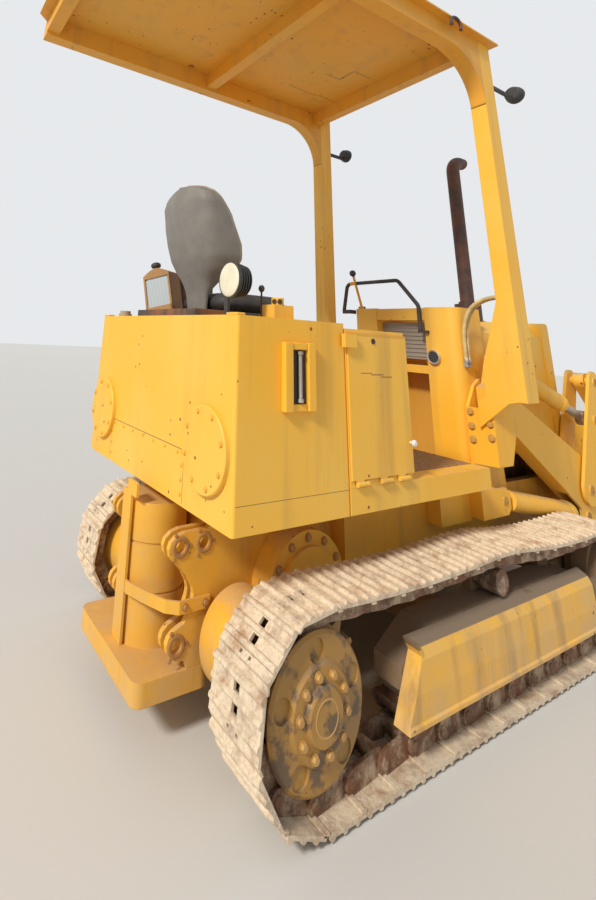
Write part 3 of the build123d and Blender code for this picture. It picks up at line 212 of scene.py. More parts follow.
STREAK_BROWN = (0.36, 0.2, 0.07, 1)
GREASE_BLACK = (0.09, 0.065, 0.05, 1)
FRESH_RUST = (0.34, 0.13, 0.05, 1)
weathering = new_group(
    "weathering",
    (
        ("Paint", "Color", (0.8, 0.45, 0.04, 1)), ("Faded", "Color", (0.8, 0.5, 0.1, 1)),
        ("Rust", "Color", (0.16, 0.05, 0.02, 1)), ("Dust", "Color", (0.42, 0.3, 0.18, 1)),
        ("Chips", "Float", 0.3), ("Spots", "Float", 0.3), ("Streaks", "Float", 0.3), ("Dirt", "Float", 0.3),
        ("Low Dirt", "Float", 0.3), ("Grease", "Float", 0.0),
    ),
    (("Color", "Color"), ("Roughness", "Float"), ("Height", "Float")),
)
tree = weathering
given = tree.nodes.new("NodeGroupInput").outputs
place = node(tree, "TexCoord").outputs["Object"]
facing = node(tree, "SeparateXYZ", {0: node(tree, "NewGeometry").outputs["Normal"]}).outputs[2]
height_above = node(tree, "SeparateXYZ", {0: place}).outputs[2]
cloud = noise(tree, place, 1.4, 5.0)
colour = mixed(tree, band(tree, cloud, 0.38, 0.64), given["Paint"], given["Faded"])
streak = noise(tree, place, 5.0, 6.0, 0.6, (1.6, 1.6, 0.12))
streak = math_node(tree, "MULTIPLY", band(tree, streak, 0.52, 0.72), given["Streaks"])
colour = mixed(tree, streak, colour, STREAK_BROWN)
fine = noise(tree, place, 26.0, 8.0, 0.7)
low_share = math_node(tree, "MULTIPLY", band(tree, height_above, 0.75, 0.1), given["Low Dirt"])
up_share = math_node(tree, "MULTIPLY", band(tree, facing, 0.5, 0.9), given["Dirt"])
dust = math_node(tree, "MAXIMUM", low_share, up_share)
patchy = noise(tree, place, 6.0, 9.0, 0.72)
dust = band(tree, math_node(tree, "ADD", dust, math_node(tree, "SUBTRACT", patchy, 0.5)), 0.18, 0.72)
colour = mixed(tree, dust, colour, given["Dust"])
more_oil = math_node(tree, "MULTIPLY", given["Grease"], 0.3)
oily = math_node(tree, "ADD", noise(tree, place, 11.0, 7.0, 0.62), more_oil)
oily = math_node(tree, "MULTIPLY", band(tree, oily, 0.60, 0.68), band(tree, given["Grease"], 0.0, 0.2))
colour = mixed(tree, math_node(tree, "MULTIPLY", oily, 0.8), colour, GREASE_BLACK)
chip_limit = math_node(tree, "SUBTRACT", 0.80, math_node(tree, "MULTIPLY", given["Chips"], 0.18))
chip_noise = noise(tree, place, 7.5, 12.0, 0.66)
chips = band(tree, math_node(tree, "SUBTRACT", chip_noise, chip_limit), 0.0, 0.03)
flecks = node(tree, "TexVoronoi", {"Vector": place, "Scale": 17.0, "Randomness": 1.0})
spotted = band(tree, noise(tree, place, 3.1, 2.0), 0.42, 0.75)
fleck_size = math_node(tree, "MULTIPLY", math_node(tree, "MULTIPLY", spotted, given["Spots"]), 0.22)
flecks = math_node(tree, "LESS_THAN", flecks.outputs["Distance"], fleck_size)
bare = math_node(tree, "MAXIMUM", chips, flecks)
rust = mixed(tree, band(tree, fine, 0.35, 0.65), given["Rust"], FRESH_RUST)
colour = mixed(tree, bare, colour, rust)
rough = math_node(tree, "ADD", 0.42, math_node(tree, "MULTIPLY", fine, 0.16))
rough = math_node(tree, "ADD", rough, math_node(tree, "MULTIPLY", dust, 0.3))
rough = math_node(tree, "ADD", rough, math_node(tree, "MULTIPLY", bare, 0.3))
relief = math_node(tree, "MULTIPLY", fine, 0.25)
relief = math_node(tree, "SUBTRACT", relief, math_node(tree, "MULTIPLY", bare, 0.5))
lumps = math_node(tree, "MULTIPLY", dust, math_node(tree, "MULTIPLY", patchy, 0.8))
relief = math_node(tree, "ADD", relief, lumps)
ends = tree.nodes.new("NodeGroupOutput")
tree.links.new(colour, ends.inputs["Color"])
tree.links.new(rough, ends.inputs["Roughness"])
tree.links.new(relief, ends.inputs["Height"])


def inside(tree, place, corner, opposite):
    """A mask that is 1 inside a box between two points measured from the axle, and 0 outside it."""
    middle = (at(*corner) + at(*opposite)) / 2
    half = [abs(b - a) / 2 for a, b in zip(corner, opposite)]
    moved = node(tree, "VectorMath", {0: place, 1: middle}, operation="SUBTRACT").outputs[0]
    apart = node(tree, "VectorMath", {0: moved}, operation="ABSOLUTE").outputs[0]
    left_over = node(tree, "VectorMath", {0: half, 1: apart}, operation="SUBTRACT").outputs[0]
    parts = node(tree, "SeparateXYZ", {0: left_over}).outputs
    least = math_node(tree, "MINIMUM", math_node(tree, "MINIMUM", parts[0], parts[1]), parts[2])
    return math_node(tree, "GREATER_THAN", least, 0.0)


def finish_of(name, group, values, depth=0.0012, edge=0.003, zones=(), **shader_values):
    """A material whose colour, roughness and relief come from a group, with its edges softly rounded.
    Each zone is (corner, opposite corner, colour, share): a stretch of the piece in another colour."""
    material = bpy.data.materials.new(name)
    material.use_nodes = True
    tree = material.node_tree
    shader = tree.nodes["Principled BSDF"]
    source = tree.nodes.new("ShaderNodeGroup")
    source.node_tree = group
    for label, value in values.items():
        source.inputs[label].default_value = value
    colour = source.outputs["Color"]
    place = node(tree, "TexCoord").outputs["Object"]
    for corner, opposite, paint, share in zones:
        mask = math_node(tree, "MULTIPLY", inside(tree, place, corner, opposite), share)
        colour = mixed(tree, mask, colour, paint)
    tree.links.new(colour, shader.inputs["Base Color"])
    tree.links.new(source.outputs["Roughness"], shader.inputs["Roughness"])
    rounded = node(tree, "Bevel", {"Radius": edge}, samples=4).outputs[0]
    bump = node(tree, "Bump", {"Height": source.outputs["Height"], "Distance": depth, "Normal": rounded})
    tree.links.new(bump.outputs[0], shader.inputs["Normal"])
    for label, value in shader_values.items():
        shader.inputs[label.replace("_", " ")].default_value = value
    return material


def dress(material, *names):
    """Gives CAD nodes a finish."""
    for name in names:
        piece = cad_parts[name]
        for slot in piece.material_slots:
            slot.material = material
        if not piece.material_slots:
            piece.data.materials.append(material)


YELLOW = (0.91, 0.470, 0.034, 1)
FADED_YELLOW = (0.88, 0.52, 0.080, 1)
OCHRE = (0.70, 0.37, 0.05, 1)
CLAY = (0.50, 0.37, 0.24, 1)
RUST = (0.20, 0.065, 0.025, 1)
dusty_paint = finish_of("dusty_paint", weathering, {
    "Paint": YELLOW, "Faded": OCHRE, "Rust": RUST, "Dust": CLAY, "Chips": 0.5, "Spots": 0.6, "Streaks": 0.4,
    "Dirt": 0.42, "Low Dirt": 0.36,
}, depth=0.003)
dress(dusty_paint, "main_frame", "final_drives")


def piece_of(name, shapes, material, body="chassis", sharp=35):
    """A new piece from shapes of (points, faces), whose points are metres from the sprockets' axle."""
    points, faces, start = [], [], 0
    for places, corners in shapes:
        points.append(np.asarray(places, float) + (AXLE_X, 0, 0))
        faces += [tuple(c + start for c in face) for face in corners]
        start += len(places)
    mesh = bpy.data.meshes.new(name)
    mesh.from_pydata(np.concatenate(points).tolist(), [], faces)
    shell = bmesh.new()
    shell.from_mesh(mesh)
    bmesh.ops.remove_doubles(shell, verts=shell.verts, dist=1e-6)
    bmesh.ops.recalc_face_normals(shell, faces=shell.faces)
    shell.to_mesh(mesh)
    shell.free()
    mesh.shade_smooth()
    mesh.set_sharp_from_angle(angle=math.radians(sharp))
    mesh.materials.append(material)
    piece = bpy.data.objects.new(name, mesh)
    scene.collection.objects.link(piece)
    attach(piece, body)
    return piece


def lattice(rows, columns):
    """The quads of a grid of points whose columns close on themselves."""
    r, c = np.meshgrid(np.arange(rows - 1), np.arange(columns), indexing="ij")
    after = (c + 1) % columns
    near, far = r * columns, (r + 1) * columns
    quads = np.stack([near + c, near + after, far + after, far + c], -1)
    return quads.reshape(-1, 4).tolist()


def turned(profile, sides=16, start=0.0):
    """A turned shape about Z: each (radius, height) of a half section carried round a circle."""
    radius, height = np.asarray(profile, float).T
    angle = start + 2 * np.pi * np.arange(sides) / sides
    x, y = radius[:, None] * np.cos(angle), radius[:, None] * np.sin(angle)
    points = np.stack([x, y, np.repeat(height[:, None], sides, 1)], -1)
    return points.reshape(-1, 3), lattice(len(radius), sides)


def facing_way(way, side=(0, 0, 1)):
    """The matrix that turns Z to a direction, with X as near another one as it can be."""
    z = np.asarray(way, float) / np.linalg.norm(way)
    x = np.asarray(side, float) - np.dot(side, z) * z
    if np.linalg.norm(x) < 1e-6:
        x = np.cross((0, 1, 0), z)
    x /= np.linalg.norm(x)
    return np.stack([x, np.cross(z, x), z], 1)


def copies(shape, places, way=(0, 0, 1), side=(1, 0, 0)):
    """A shape set at each of several places, turned to a direction."""
    points, faces = shape
    turned_points = points @ facing_way(way, side).T
    places = np.atleast_2d(np.asarray(places, float))
    every = (places[:, None, :] + turned_points[None]).reshape(-1, 3)
    return every, [tuple(c + i * len(points) for c in face) for i in range(len(places)) for face in faces]


def round_row(centre, radius, count, way, start=0.0):
    """Places on a circle about a direction: centre plus radius times (cos, sin) in its plane."""
    angle = start + 2 * np.pi * np.arange(count) / count
    ring = np.stack([radius * np.cos(angle), radius * np.sin(angle), 0 * angle], -1)
    return np.asarray(centre) + ring @ facing_way(way).T


def bolt_head(radius, height):
    """A hexagon head with a chamfered top on a flat washer, as two turned shapes."""
    head = turned([
        (0, 0), (radius, 0), (radius, 0.8 * height), (0.84 * radius, height), (0, height),
    ], 6)
    washer = turned([(0, 0), (1.25 * radius, 0), (1.25 * radius, 0.2 * height), (0, 0.2 * height)], 14)
    return head, washer


def bolts(places, way, radius=0.011, height=0.010):
    """Bolt heads at several places, as a list of shapes."""
    return [copies(part, places, way) for part in bolt_head(radius, height)]


old_bolts = finish_of("old_bolts", weathering, {
    "Paint": (0.55, 0.30, 0.07, 1), "Faded": (0.30, 0.14, 0.06, 1), "Rust": RUST, "Chips": 0.9,
    "Spots": 1.0, "Streaks": 0.2,
}, depth=0.0006, edge=0.001)
COVER_CENTRE = (0.310, 0.412)
COVER_FACE = 0.401
COVER_BOLT_RING = 0.186
COVER_BOLTS = 12
for name, out in (("right", -1), ("left", 1)):
    middle = (COVER_CENTRE[0], out * COVER_FACE, COVER_CENTRE[1])
    places = round_row(middle, COVER_BOLT_RING, COVER_BOLTS, (0, out, 0))
    piece_of("case_cover_bolts_" + name, bolts(places, (0, out, 0), 0.014, 0.012), old_bolts)


# Tracks: shoes with three worn bars each on a chain of forged links, pins and bushings. Mud holes open in
# the shoes' valleys. The steel is bare and rusty, under clay that has dried pale on the shoes' outside.
PITCH = 0.160
SPROCKET_LINKS = 9
LOOP_SHOES = 36
TRACK_Y = 0.673
SHOE_WIDTH = 0.254
PIN_TO_PLATE = 0.032
SHOE_PLATE = 0.011
GROUSER = 0.013
RAIL_HEIGHT = 0.034
RAIL_SPACING = 0.112
LINK_BOSS = 0.030
LINK_HALF = 0.0065
LINK_OFFSET = 0.014
IDLER_RADIUS = 0.215
WHEELBASE = 2.168
CARRIER_X = 1.120
SAG_REAR = 0.018
SAG_FRONT = 0.024
SPROCKET_RADIUS = PITCH / 2 / math.sin(math.pi / SPROCKET_LINKS)
PIN_TO_TIP = PIN_TO_PLATE + SHOE_PLATE + GROUSER
SPROCKET_Z = SPROCKET_RADIUS + PIN_TO_TIP
IDLER_Z = IDLER_RADIUS + PIN_TO_TIP
BAR_MIDDLES = (0.08, 0.41, 0.74)
BAR_HALF = 0.068
MUD_HOLE_HALF = 0.0145


def chain_pins():
    """The pins' places (x, z): a straight run on the ground, a half circle round the idler, the upper run
    as a line less two sine sags, and a half circle round the sprocket, cut at equal lengths."""
    share = np.linspace(0, 1, 60, endpoint=False)
    ground = np.stack([WHEELBASE * share, 0 * share + PIN_TO_TIP], 1)
    turn = np.pi * (share - 0.5)
    idler = np.stack([WHEELBASE + IDLER_RADIUS * np.cos(turn), IDLER_Z + IDLER_RADIUS * np.sin(turn)], 1)
    x = WHEELBASE * (1 - share)
    top = SPROCKET_Z + SPROCKET_RADIUS
    rear = top - SAG_REAR * np.sin(np.pi * x / CARRIER_X)
    ahead = (x - CARRIER_X) / (WHEELBASE - CARRIER_X)
    front = top - (top - IDLER_Z - IDLER_RADIUS) * ahead - SAG_FRONT * np.sin(np.pi * ahead)
    upper = np.stack([x, np.where(x < CARRIER_X, rear, front)], 1)
    turn = np.pi * (share + 0.5)
    sprocket = np.stack([SPROCKET_RADIUS * np.cos(turn), SPROCKET_Z + SPROCKET_RADIUS * np.sin(turn)], 1)
    loop = np.concatenate([ground, idler, upper, sprocket, ground[:1]])
    length = np.concatenate([[0], np.cumsum(np.linalg.norm(np.diff(loop, axis=0), axis=1))])
    wanted = length[-1] * np.arange(LOOP_SHOES) / LOOP_SHOES
    return np.stack([np.interp(wanted, length, loop[:, i]) for i in (0, 1)], 1)


def along_chain(share, out, y):
    """Points on every link: from its pin along to the next pin by a share, and outward by a distance."""
    pins = chain_pins()
    step = np.roll(pins, -1, axis=0) - pins
    way = step / np.linalg.norm(step, axis=1)[:, None]
    spread = (slice(None),) + (None,) * np.ndim(share)
    x = pins[:, 0][spread] + step[:, 0][spread] * share + way[:, 1][spread] * out
    z = pins[:, 1][spread] + step[:, 1][spread] * share - way[:, 0][spread] * out
    return np.stack([x, np.broadcast_to(y, x.shape), z], -1)


def plate_cells(keep):
    """Faces of a plate on a grid, top points first and then bottom ones: a top and a bottom quad for each
    kept cell, and a wall on each side where the next cell isn't kept."""
    rows, columns = keep.shape
    number = np.arange((rows + 1) * (columns + 1)).reshape(rows + 1, columns + 1)
    under = number.size
    a, b, c, d = number[:-1, :-1], number[1:, :-1], number[1:, 1:], number[:-1, 1:]
    faces = [np.stack([a, b, c, d], -1)[keep], np.stack([d, c, b, a], -1)[keep] + under]
    framed = np.pad(keep, 1)
    for row, column, first, second in ((-1, 0, a, d), (1, 0, b, c), (0, -1, a, b), (0, 1, d, c)):
        beside = framed[1 + row:rows + 1 + row, 1 + column:columns + 1 + column]
        edge = keep & ~beside
        walls = np.stack([first[edge], second[edge], second[edge] + under, first[edge] + under], -1)
        faces.append(walls)
    return np.concatenate(faces)


def shoes(out_y, seed):
    """Bars and valleys: outward height is (1 - |d| to the 2.6) to the power 0.5 of the bar's height, d the
    distance from the bar's middle in half widths, less worn ends, dents and a thin groove behind it. A lip
    on the front edge reaches under the shoe before."""
    valley = np.array((0.165, 0.18, 0.315, 0.33, 0.50, 0.515, 0.65, 0.665, 0.86, 0.875, 0.905, 0.92))
    bars = np.add.outer(BAR_MIDDLES, BAR_HALF * np.array((-1, -0.85, -0.45, 0, 0.45, 0.85, 1, 1.07, 1.2)))
    ends = (-0.14, -0.13, -0.012, 0.0, 0.975, 0.992)
    share = np.unique(np.round(np.concatenate([valley, bars.ravel(), ends]), 4))
    half = SHOE_WIDTH / 2
    y = np.array((-0.121, -0.10, -0.07, -0.044, -0.032, -0.028, -0.017, -0.0145, -0.010, 0.0))
    y = np.unique(np.concatenate([(-half, half), y, -y]))
    rng = np.random.default_rng(seed)
    s, across_shoe = np.meshgrid(share, y, indexing="ij")
    height = 0 * s
    for middle in BAR_MIDDLES:
        d = np.abs((s - middle) / BAR_HALF)
        height = np.maximum(height, np.sqrt(np.clip(1 - d ** 2.6, 0, None)) * GROUSER)
        height -= 0.005 * (np.abs(d - 1.07) < 0.02)
    height *= 1 - 0.30 * (np.abs(across_shoe) / half) ** 6
    phase = rng.uniform(0, 2 * np.pi, (LOOP_SHOES, 4, 1, 1))
    dents = np.sin(60 * across_shoe + phase[:, 0]) * np.sin(38 * s + phase[:, 1])
    dents = dents + 0.7 * np.sin(150 * across_shoe + phase[:, 2]) * np.sin(90 * s + phase[:, 3])
    top = PIN_TO_PLATE + SHOE_PLATE + height + np.minimum(0.0008 * (dents - 1.7), 0) * (height > 0.001)
    top = np.where(s < -0.001, PIN_TO_PLATE - 0.001, top - 0.004 * (s > 0.98))
    bottom = PIN_TO_PLATE - 0.008 * (s < -0.001) + 0 * top
    centre_s = (share[:-1] + share[1:])[:, None] / 2
    centre_y = (y[:-1] + y[1:])[None] / 2
    keep = np.ones((len(share) - 1, len(y) - 1), bool)
    for low_s, high_s in ((0.165, 0.33), (0.50, 0.665)):
        u = (centre_s - (low_s + high_s) / 2) / (high_s - low_s) * 2
        v = centre_y / MUD_HOLE_HALF
        keep &= ~((np.abs(u) < 1) & (np.abs(v) < 1) & (u ** 4 + v ** 4 < 1.5))
    notch = (centre_s > 0.86) & (centre_s < 0.92) & (np.abs(np.abs(centre_y) - 0.0225) < 0.0055)
    keep &= ~notch
    out = np.stack([top, bottom], 1)
    places = along_chain(np.stack([s, s]), out, np.stack([across_shoe, across_shoe]) + out_y * TRACK_Y)
    faces = plate_cells(keep)
    count = 2 * s.size
    every = (np.arange(LOOP_SHOES)[:, None, None] * count + faces[None]).reshape(-1, 4)
    used, numbers = np.unique(every, return_inverse=True)
    return places.reshape(-1, 3)[used], numbers.reshape(-1, 4).tolist()


def links(middle_y, inward):
    """Forged links: an outline of two round bosses joined by a flat rail and a seat for the shoe, sheared
    so that each link's front boss passes inside the next one's rear boss."""
    rear = np.radians(np.linspace(110, 250, 7))
    front = np.radians(np.linspace(-70, 70, 7))
    outline = np.concatenate([
        np.stack([LINK_BOSS * np.cos(rear), LINK_BOSS * np.sin(rear)], 1),
        [(0.022, -RAIL_HEIGHT), (PITCH - 0.022, -RAIL_HEIGHT)],
        np.stack([PITCH + LINK_BOSS * np.cos(front), LINK_BOSS * np.sin(front)], 1),
        [(PITCH - 0.028, PIN_TO_PLATE), (0.028, PIN_TO_PLATE)],
    ])
    share, out = outline[:, 0] / PITCH, outline[:, 1]
    shear = inward * LINK_OFFSET * (share - 0.5)
    y = np.stack([middle_y + shear - LINK_HALF, middle_y + shear + LINK_HALF])
    places = along_chain(np.stack([share, share]), np.stack([out, out]), y)
    count = len(outline)
    ring = np.arange(count)
    walls = np.stack([ring, (ring + 1) % count, (ring + 1) % count + count, ring + count], 1).tolist()
    one = walls + [ring.tolist()[::-1], (ring + count).tolist()]
    faces = [tuple(c + 2 * count * k for c in face) for k in range(LOOP_SHOES) for face in one]
    return places.reshape(-1, 3), faces


bare_steel = new_group(
    "bare_steel",
    (
        ("Metal", "Color", (0.12, 0.075, 0.05, 1)), ("Rust", "Color", (0.22, 0.09, 0.04, 1)),
        ("Clay", "Color", CLAY), ("Pale Clay", "Color", (0.62, 0.50, 0.36, 1)), ("Cake", "Float", 0.5),
        ("Speckle", "Float", 0.0),
    ),
    (("Color", "Color"), ("Roughness", "Float"), ("Height", "Float")),
)
tree = bare_steel
given = tree.nodes.new("NodeGroupInput").outputs
place = node(tree, "TexCoord").outputs["Object"]
blotch = noise(tree, place, 9.0, 9.0, 0.68)
grit = noise(tree, place, 70.0, 8.0, 0.75)
colour = mixed(tree, band(tree, blotch, 0.4, 0.6), given["Metal"], given["Rust"])
more_cake = math_node(tree, "SUBTRACT", given["Cake"], 0.5)
cake = math_node(tree, "ADD", noise(tree, place, 14.0, 10.0, 0.7), more_cake)
cake = band(tree, cake, 0.44, 0.60)
tone = mixed(tree, band(tree, grit, 0.3, 0.7), given["Clay"], given["Pale Clay"])
colour = mixed(tree, cake, colour, tone)
specks = band(tree, noise(tree, place, 95.0, 6.0, 0.8), 0.55, 0.66)
specks = math_node(tree, "MULTIPLY", specks, given["Speckle"])
colour = mixed(tree, specks, colour, given["Rust"])
ends = tree.nodes.new("NodeGroupOutput")
tree.links.new(colour, ends.inputs["Color"])
rough = math_node(tree, "ADD", 0.6, math_node(tree, "MULTIPLY", cake, 0.3))
relief = math_node(tree, "ADD", math_node(tree, "MULTIPLY", cake, 0.6), grit)
tree.links.new(rough, ends.inputs["Roughness"])
tree.links.new(relief, ends.inputs["Height"])
chain_steel = finish_of("chain_steel", bare_steel, {
    "Metal": (0.16, 0.09, 0.055, 1), "Clay": (0.42, 0.29, 0.18, 1), "Cake": 0.50,
}, depth=0.003)
shoe_steel = finish_of("shoe_steel", bare_steel, {
    "Metal": (0.46, 0.35, 0.26, 1), "Rust": (0.46, 0.27, 0.15, 1), "Clay": (0.60, 0.46, 0.32, 1),
    "Pale Clay": (0.84, 0.72, 0.54, 1), "Cake": 0.60, "Speckle": 0.6,
}, depth=0.003, edge=0.002)
roller_steel = finish_of("roller_steel", bare_steel, {"Cake": 0.45}, depth=0.003)
for name, out in (("right", -1), ("left", 1)):
    shoe_piece = piece_of("track_shoes_" + name, [shoes(out, 5 + out)], shoe_steel, sharp=50)
    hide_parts("track_" + name)
    rails = [links(out * TRACK_Y + side * RAIL_SPACING / 2, -side) for side in (-1, 1)]
    pins = chain_pins()
    places = np.stack([pins[:, 0], 0 * pins[:, 0] + out * TRACK_Y, pins[:, 1]], 1)
    half = RAIL_SPACING / 2 + 0.0135
    pin = turned([
        (0, -half - 0.004), (0.015, -half - 0.004), (0.017, -half), (0.017, half), (0.015, half + 0.004),
        (0, half + 0.004),
    ], 12)
    bush_half = RAIL_SPACING / 2 - 0.006
    bush = turned([(0, -bush_half), (0.024, -bush_half), (0.024, bush_half), (0, bush_half)], 14)
    rails += [copies(pin, places, (0, 1, 0)), copies(bush, places, (0, 1, 0))]
    piece_of("track_chain_" + name, rails, chain_steel)
dress(roller_steel, "track_rollers", "carrier_rollers")


# Sprockets, idlers and track frames: castings under old paint, caked with dark clay and with grease on the
# sprockets. Nuts hold each sprocket's disc, and a lipped guard runs along each track frame.
caked_paint = finish_of("caked_paint", weathering, {
    "Paint": (0.34, 0.19, 0.07, 1), "Faded": (0.24, 0.14, 0.06, 1), "Rust": (0.10, 0.045, 0.025, 1),
    "Dust": (0.21, 0.15, 0.10, 1), "Chips": 0.9, "Spots": 0.7, "Streaks": 0.5, "Dirt": 0.85,
    "Low Dirt": 0.75,
}, depth=0.005)
wheel_paint = finish_of("wheel_paint", weathering, {
    "Paint": (0.42, 0.22, 0.045, 1), "Faded": (0.28, 0.17, 0.065, 1), "Rust": (0.13, 0.05, 0.03, 1),
    "Dust": (0.30, 0.20, 0.11, 1), "Chips": 0.6, "Spots": 0.8, "Streaks": 0.3, "Dirt": 0.8,
    "Low Dirt": 0.10, "Grease": 0.30,
}, depth=0.004)
# A dark brown band along the track guards' top is painted shadow.
GUARD_TOP_PAINTED_SHADOW = (0.17, 0.125, 0.09, 1)
guard_paint = finish_of("guard_paint", weathering, {
    "Paint": YELLOW, "Faded": (0.74, 0.44, 0.08, 1), "Rust": (0.24, 0.09, 0.035, 1),
    "Dust": (0.60, 0.44, 0.27, 1), "Chips": 0.85, "Spots": 0.9, "Streaks": 0.9, "Dirt": 0.9,
    "Low Dirt": 0.42,
}, depth=0.002, zones=(
    # painted shadow along the guards' top
    ((0.30, -1.0, 0.350), (3.60, 1.0, 0.380), GUARD_TOP_PAINTED_SHADOW, 0.85),
))
dress(wheel_paint, "sprockets")
dress(caked_paint, "idlers", "track_frames")
dress(guard_paint, "track_guards")
NUTS = 10
NUT_RING = 0.101
NUT_SEAT = 0.1105
HUB_FACE = 0.127
for name, out in (("right", -1), ("left", 1)):
    seat = (0, out * (TRACK_Y + NUT_SEAT), SPROCKET_Z)
    nuts = bolts(round_row(seat, NUT_RING, NUTS, (0, out, 0), 0.2), (0, out, 0), 0.0125, 0.013)
    hub_ring = turned([
        (0.050, -0.004), (0.050, 0.0005), (0.046, 0.0020), (0.043, 0.0005), (0.043, -0.004),
    ], 40)
    hub = (0, out * (TRACK_Y + HUB_FACE - 0.0006), SPROCKET_Z)
    nuts.append(copies(hub_ring, hub, (0, out, 0)))
    piece_of("sprocket_nuts_" + name, nuts, old_bolts)


# Rear hitch and counterweight: flame-cut plates in pairs with bushed bores, a drum weight on a thick slab
# between them, and a flat bar behind the drum with a strap round to the right-hand plate. The paint is
# scraped and muddy.
dress(dusty_paint, "rear_hitch", "counterweight", "counterweight_strap")
HITCH_OUTER = 0.290
HITCH_BORES = ((-0.253, 0.603), (-0.250, 0.290), (-0.145, 0.606))
BUSH_BOLT_RING = 0.047
bush_ring = turned([
    (0.0225, 0), (0.037, 0), (0.037, 0.004), (0.034, 0.006), (0.026, 0.006), (0.0225, 0.004), (0.0225, 0),
], 28)
for name, out in (("right", -1), ("left", 1)):
    rings = []
    for x, z in HITCH_BORES:
        face = (x, out * HITCH_OUTER, z)
        rings.append(copies(bush_ring, face, (0, out, 0)))
        rings += bolts(round_row(face, BUSH_BOLT_RING, 3, (0, out, 0), 0.5), (0, out, 0), 0.006, 0.005)
    piece_of("hitch_bushes_" + name, rings, old_bolts)
STRAP_MIDDLE = 0.409
strap_bolts = [(x, -HITCH_OUTER - 0.0105, STRAP_MIDDLE) for x in (-0.225, -0.135)]
piece_of("strap_bolts", bolts(strap_bolts, (0, -1, 0), 0.011, 0.009), old_bolts)


# Platform: folded plate that carries the operator's place. Its deck is worn to brown inside a painted
# margin, with raised tread, and its sides are yellow.
bodywork = {
    "Paint": YELLOW, "Faded": FADED_YELLOW, "Rust": RUST, "Dust": (0.55, 0.40, 0.22, 1),
    "Chips": 0.50, "Spots": 0.9, "Streaks": 0.30, "Dirt": 0.30, "Low Dirt": 0.0,
}
DECK_TOP = 0.854
DECK_BROWN = (0.27, 0.145, 0.07, 1)
platform_paint = finish_of("platform_paint", weathering, bodywork, zones=(
    ((0.66, -0.60, DECK_TOP - 0.004), (1.238, 0.60, DECK_TOP + 0.002), DECK_BROWN, 0.9),
))
dress(platform_paint, "platform")


def tread(x0, x1, y0, y1, step):
    """Short raised lozenges in two crossed sets: each is a thin six-sided bar on a staggered grid."""
    column, row = np.meshgrid(np.arange(x0, x1, step), np.arange(y0, y1, step), indexing="ij")
    places = np.stack([column, row, 0 * column + DECK_TOP], -1).reshape(-1, 3)
    odd = np.add.outer(np.arange(column.shape[0]), np.arange(column.shape[1])).ravel() % 2 == 1
    outline = [
        (-0.014, 0), (-0.006, 0.004), (0.006, 0.004), (0.014, 0), (0.006, -0.004), (-0.006, -0.004),
    ]
    low_ring = [(x, y, -0.0005) for x, y in outline]
    high_ring = [(0.8 * x, 0.6 * y, 0.0022) for x, y in outline]
    ends = [(0, 1, 2, 3, 4, 5), (6, 7, 8, 9, 10, 11)]
    bar = (np.array(low_ring + high_ring), lattice(2, 6) + ends)
    return [
        copies(bar, places[odd], (0, 0, 1), (1, 1, 0)), copies(bar, places[~odd], (0, 0, 1), (1, -1, 0)),
    ]


deck_steel = finish_of("deck_steel", bare_steel, {
    "Metal": (0.30, 0.17, 0.09, 1), "Rust": (0.24, 0.12, 0.06, 1), "Clay": (0.44, 0.28, 0.14, 1),
    "Cake": 0.3,
}, depth=0.0005, edge=0.001)
TREAD_STEP = 0.030
piece_of("deck_tread", tread(0.675, 1.235, -0.59, 0.60, TREAD_STEP), deck_steel)


# Rear tank and side boxes: folded steel sheet in yellow enamel, with two raised round covers bolted on
# behind, a filler cap, a breather and a tap on top, and a hooded level gauge in the right-hand side.
TANK_REAR = -0.297
TANK_HALF = 0.683
TANK_TOP = 1.476
COVER_Y = 0.514
TANK_COVER_Z = 0.996
COVER_OUT = 0.022
COVER_BOLT_CIRCLE = 0.128
SEAM_COLOUR = (0.16, 0.08, 0.03, 1)
CAP_GREY = (0.34, 0.31, 0.27, 1)
tank_paint = finish_of("tank_paint", weathering, bodywork, zones=(
    ((TANK_REAR - 0.004, -0.352, 0.955), (TANK_REAR + 0.004, 0.40, 0.959), SEAM_COLOUR, 0.8),
    ((TANK_REAR - 0.004, -0.352, 0.770), (TANK_REAR + 0.004, -0.348, 0.956), SEAM_COLOUR, 0.7),
    ((TANK_REAR - 0.004, 0.398, 0.770), (TANK_REAR + 0.004, 0.402, 0.956), SEAM_COLOUR, 0.7),
    ((-0.285, -TANK_HALF - 0.004, 0.851), (0.262, -TANK_HALF + 0.004, 0.8535), SEAM_COLOUR, 0.8),
    ((-0.285, TANK_HALF - 0.004, 0.851), (0.262, TANK_HALF + 0.004, 0.8535), SEAM_COLOUR, 0.8),
    ((-0.231, 0.585, TANK_TOP + 0.001), (-0.13, 0.686, TANK_TOP + 0.04), CAP_GREY, 0.9),
))
dress(tank_paint, "rear_tank", "side_boxes")
cover_bolts = []
for middle_y in (-COVER_Y, COVER_Y):
    face = (TANK_REAR - COVER_OUT, middle_y, TANK_COVER_Z)
    ring = round_row(face, COVER_BOLT_CIRCLE, 8, (-1, 0, 0), 0.3)
    cover_bolts += bolts(ring, (-1, 0, 0), 0.0085, 0.006)
seam_places = [(TANK_REAR, y, 0.80 + 0.05 * i) for y in (-0.335, 0.385) for i in range(4)]
seam_places += [(TANK_REAR, -0.30 + 0.11 * i, 0.942) for i in range(7)]
cover_bolts += bolts(seam_places, (-1, 0, 0), 0.006, 0.004)
painted_bolts = finish_of("painted_bolts", weathering, {
    "Paint": YELLOW, "Faded": OCHRE, "Rust": RUST, "Chips": 0.9, "Spots": 0.9, "Streaks": 0.4,
}, depth=0.0005, edge=0.001)
piece_of("tank_bolts", cover_bolts, painted_bolts)


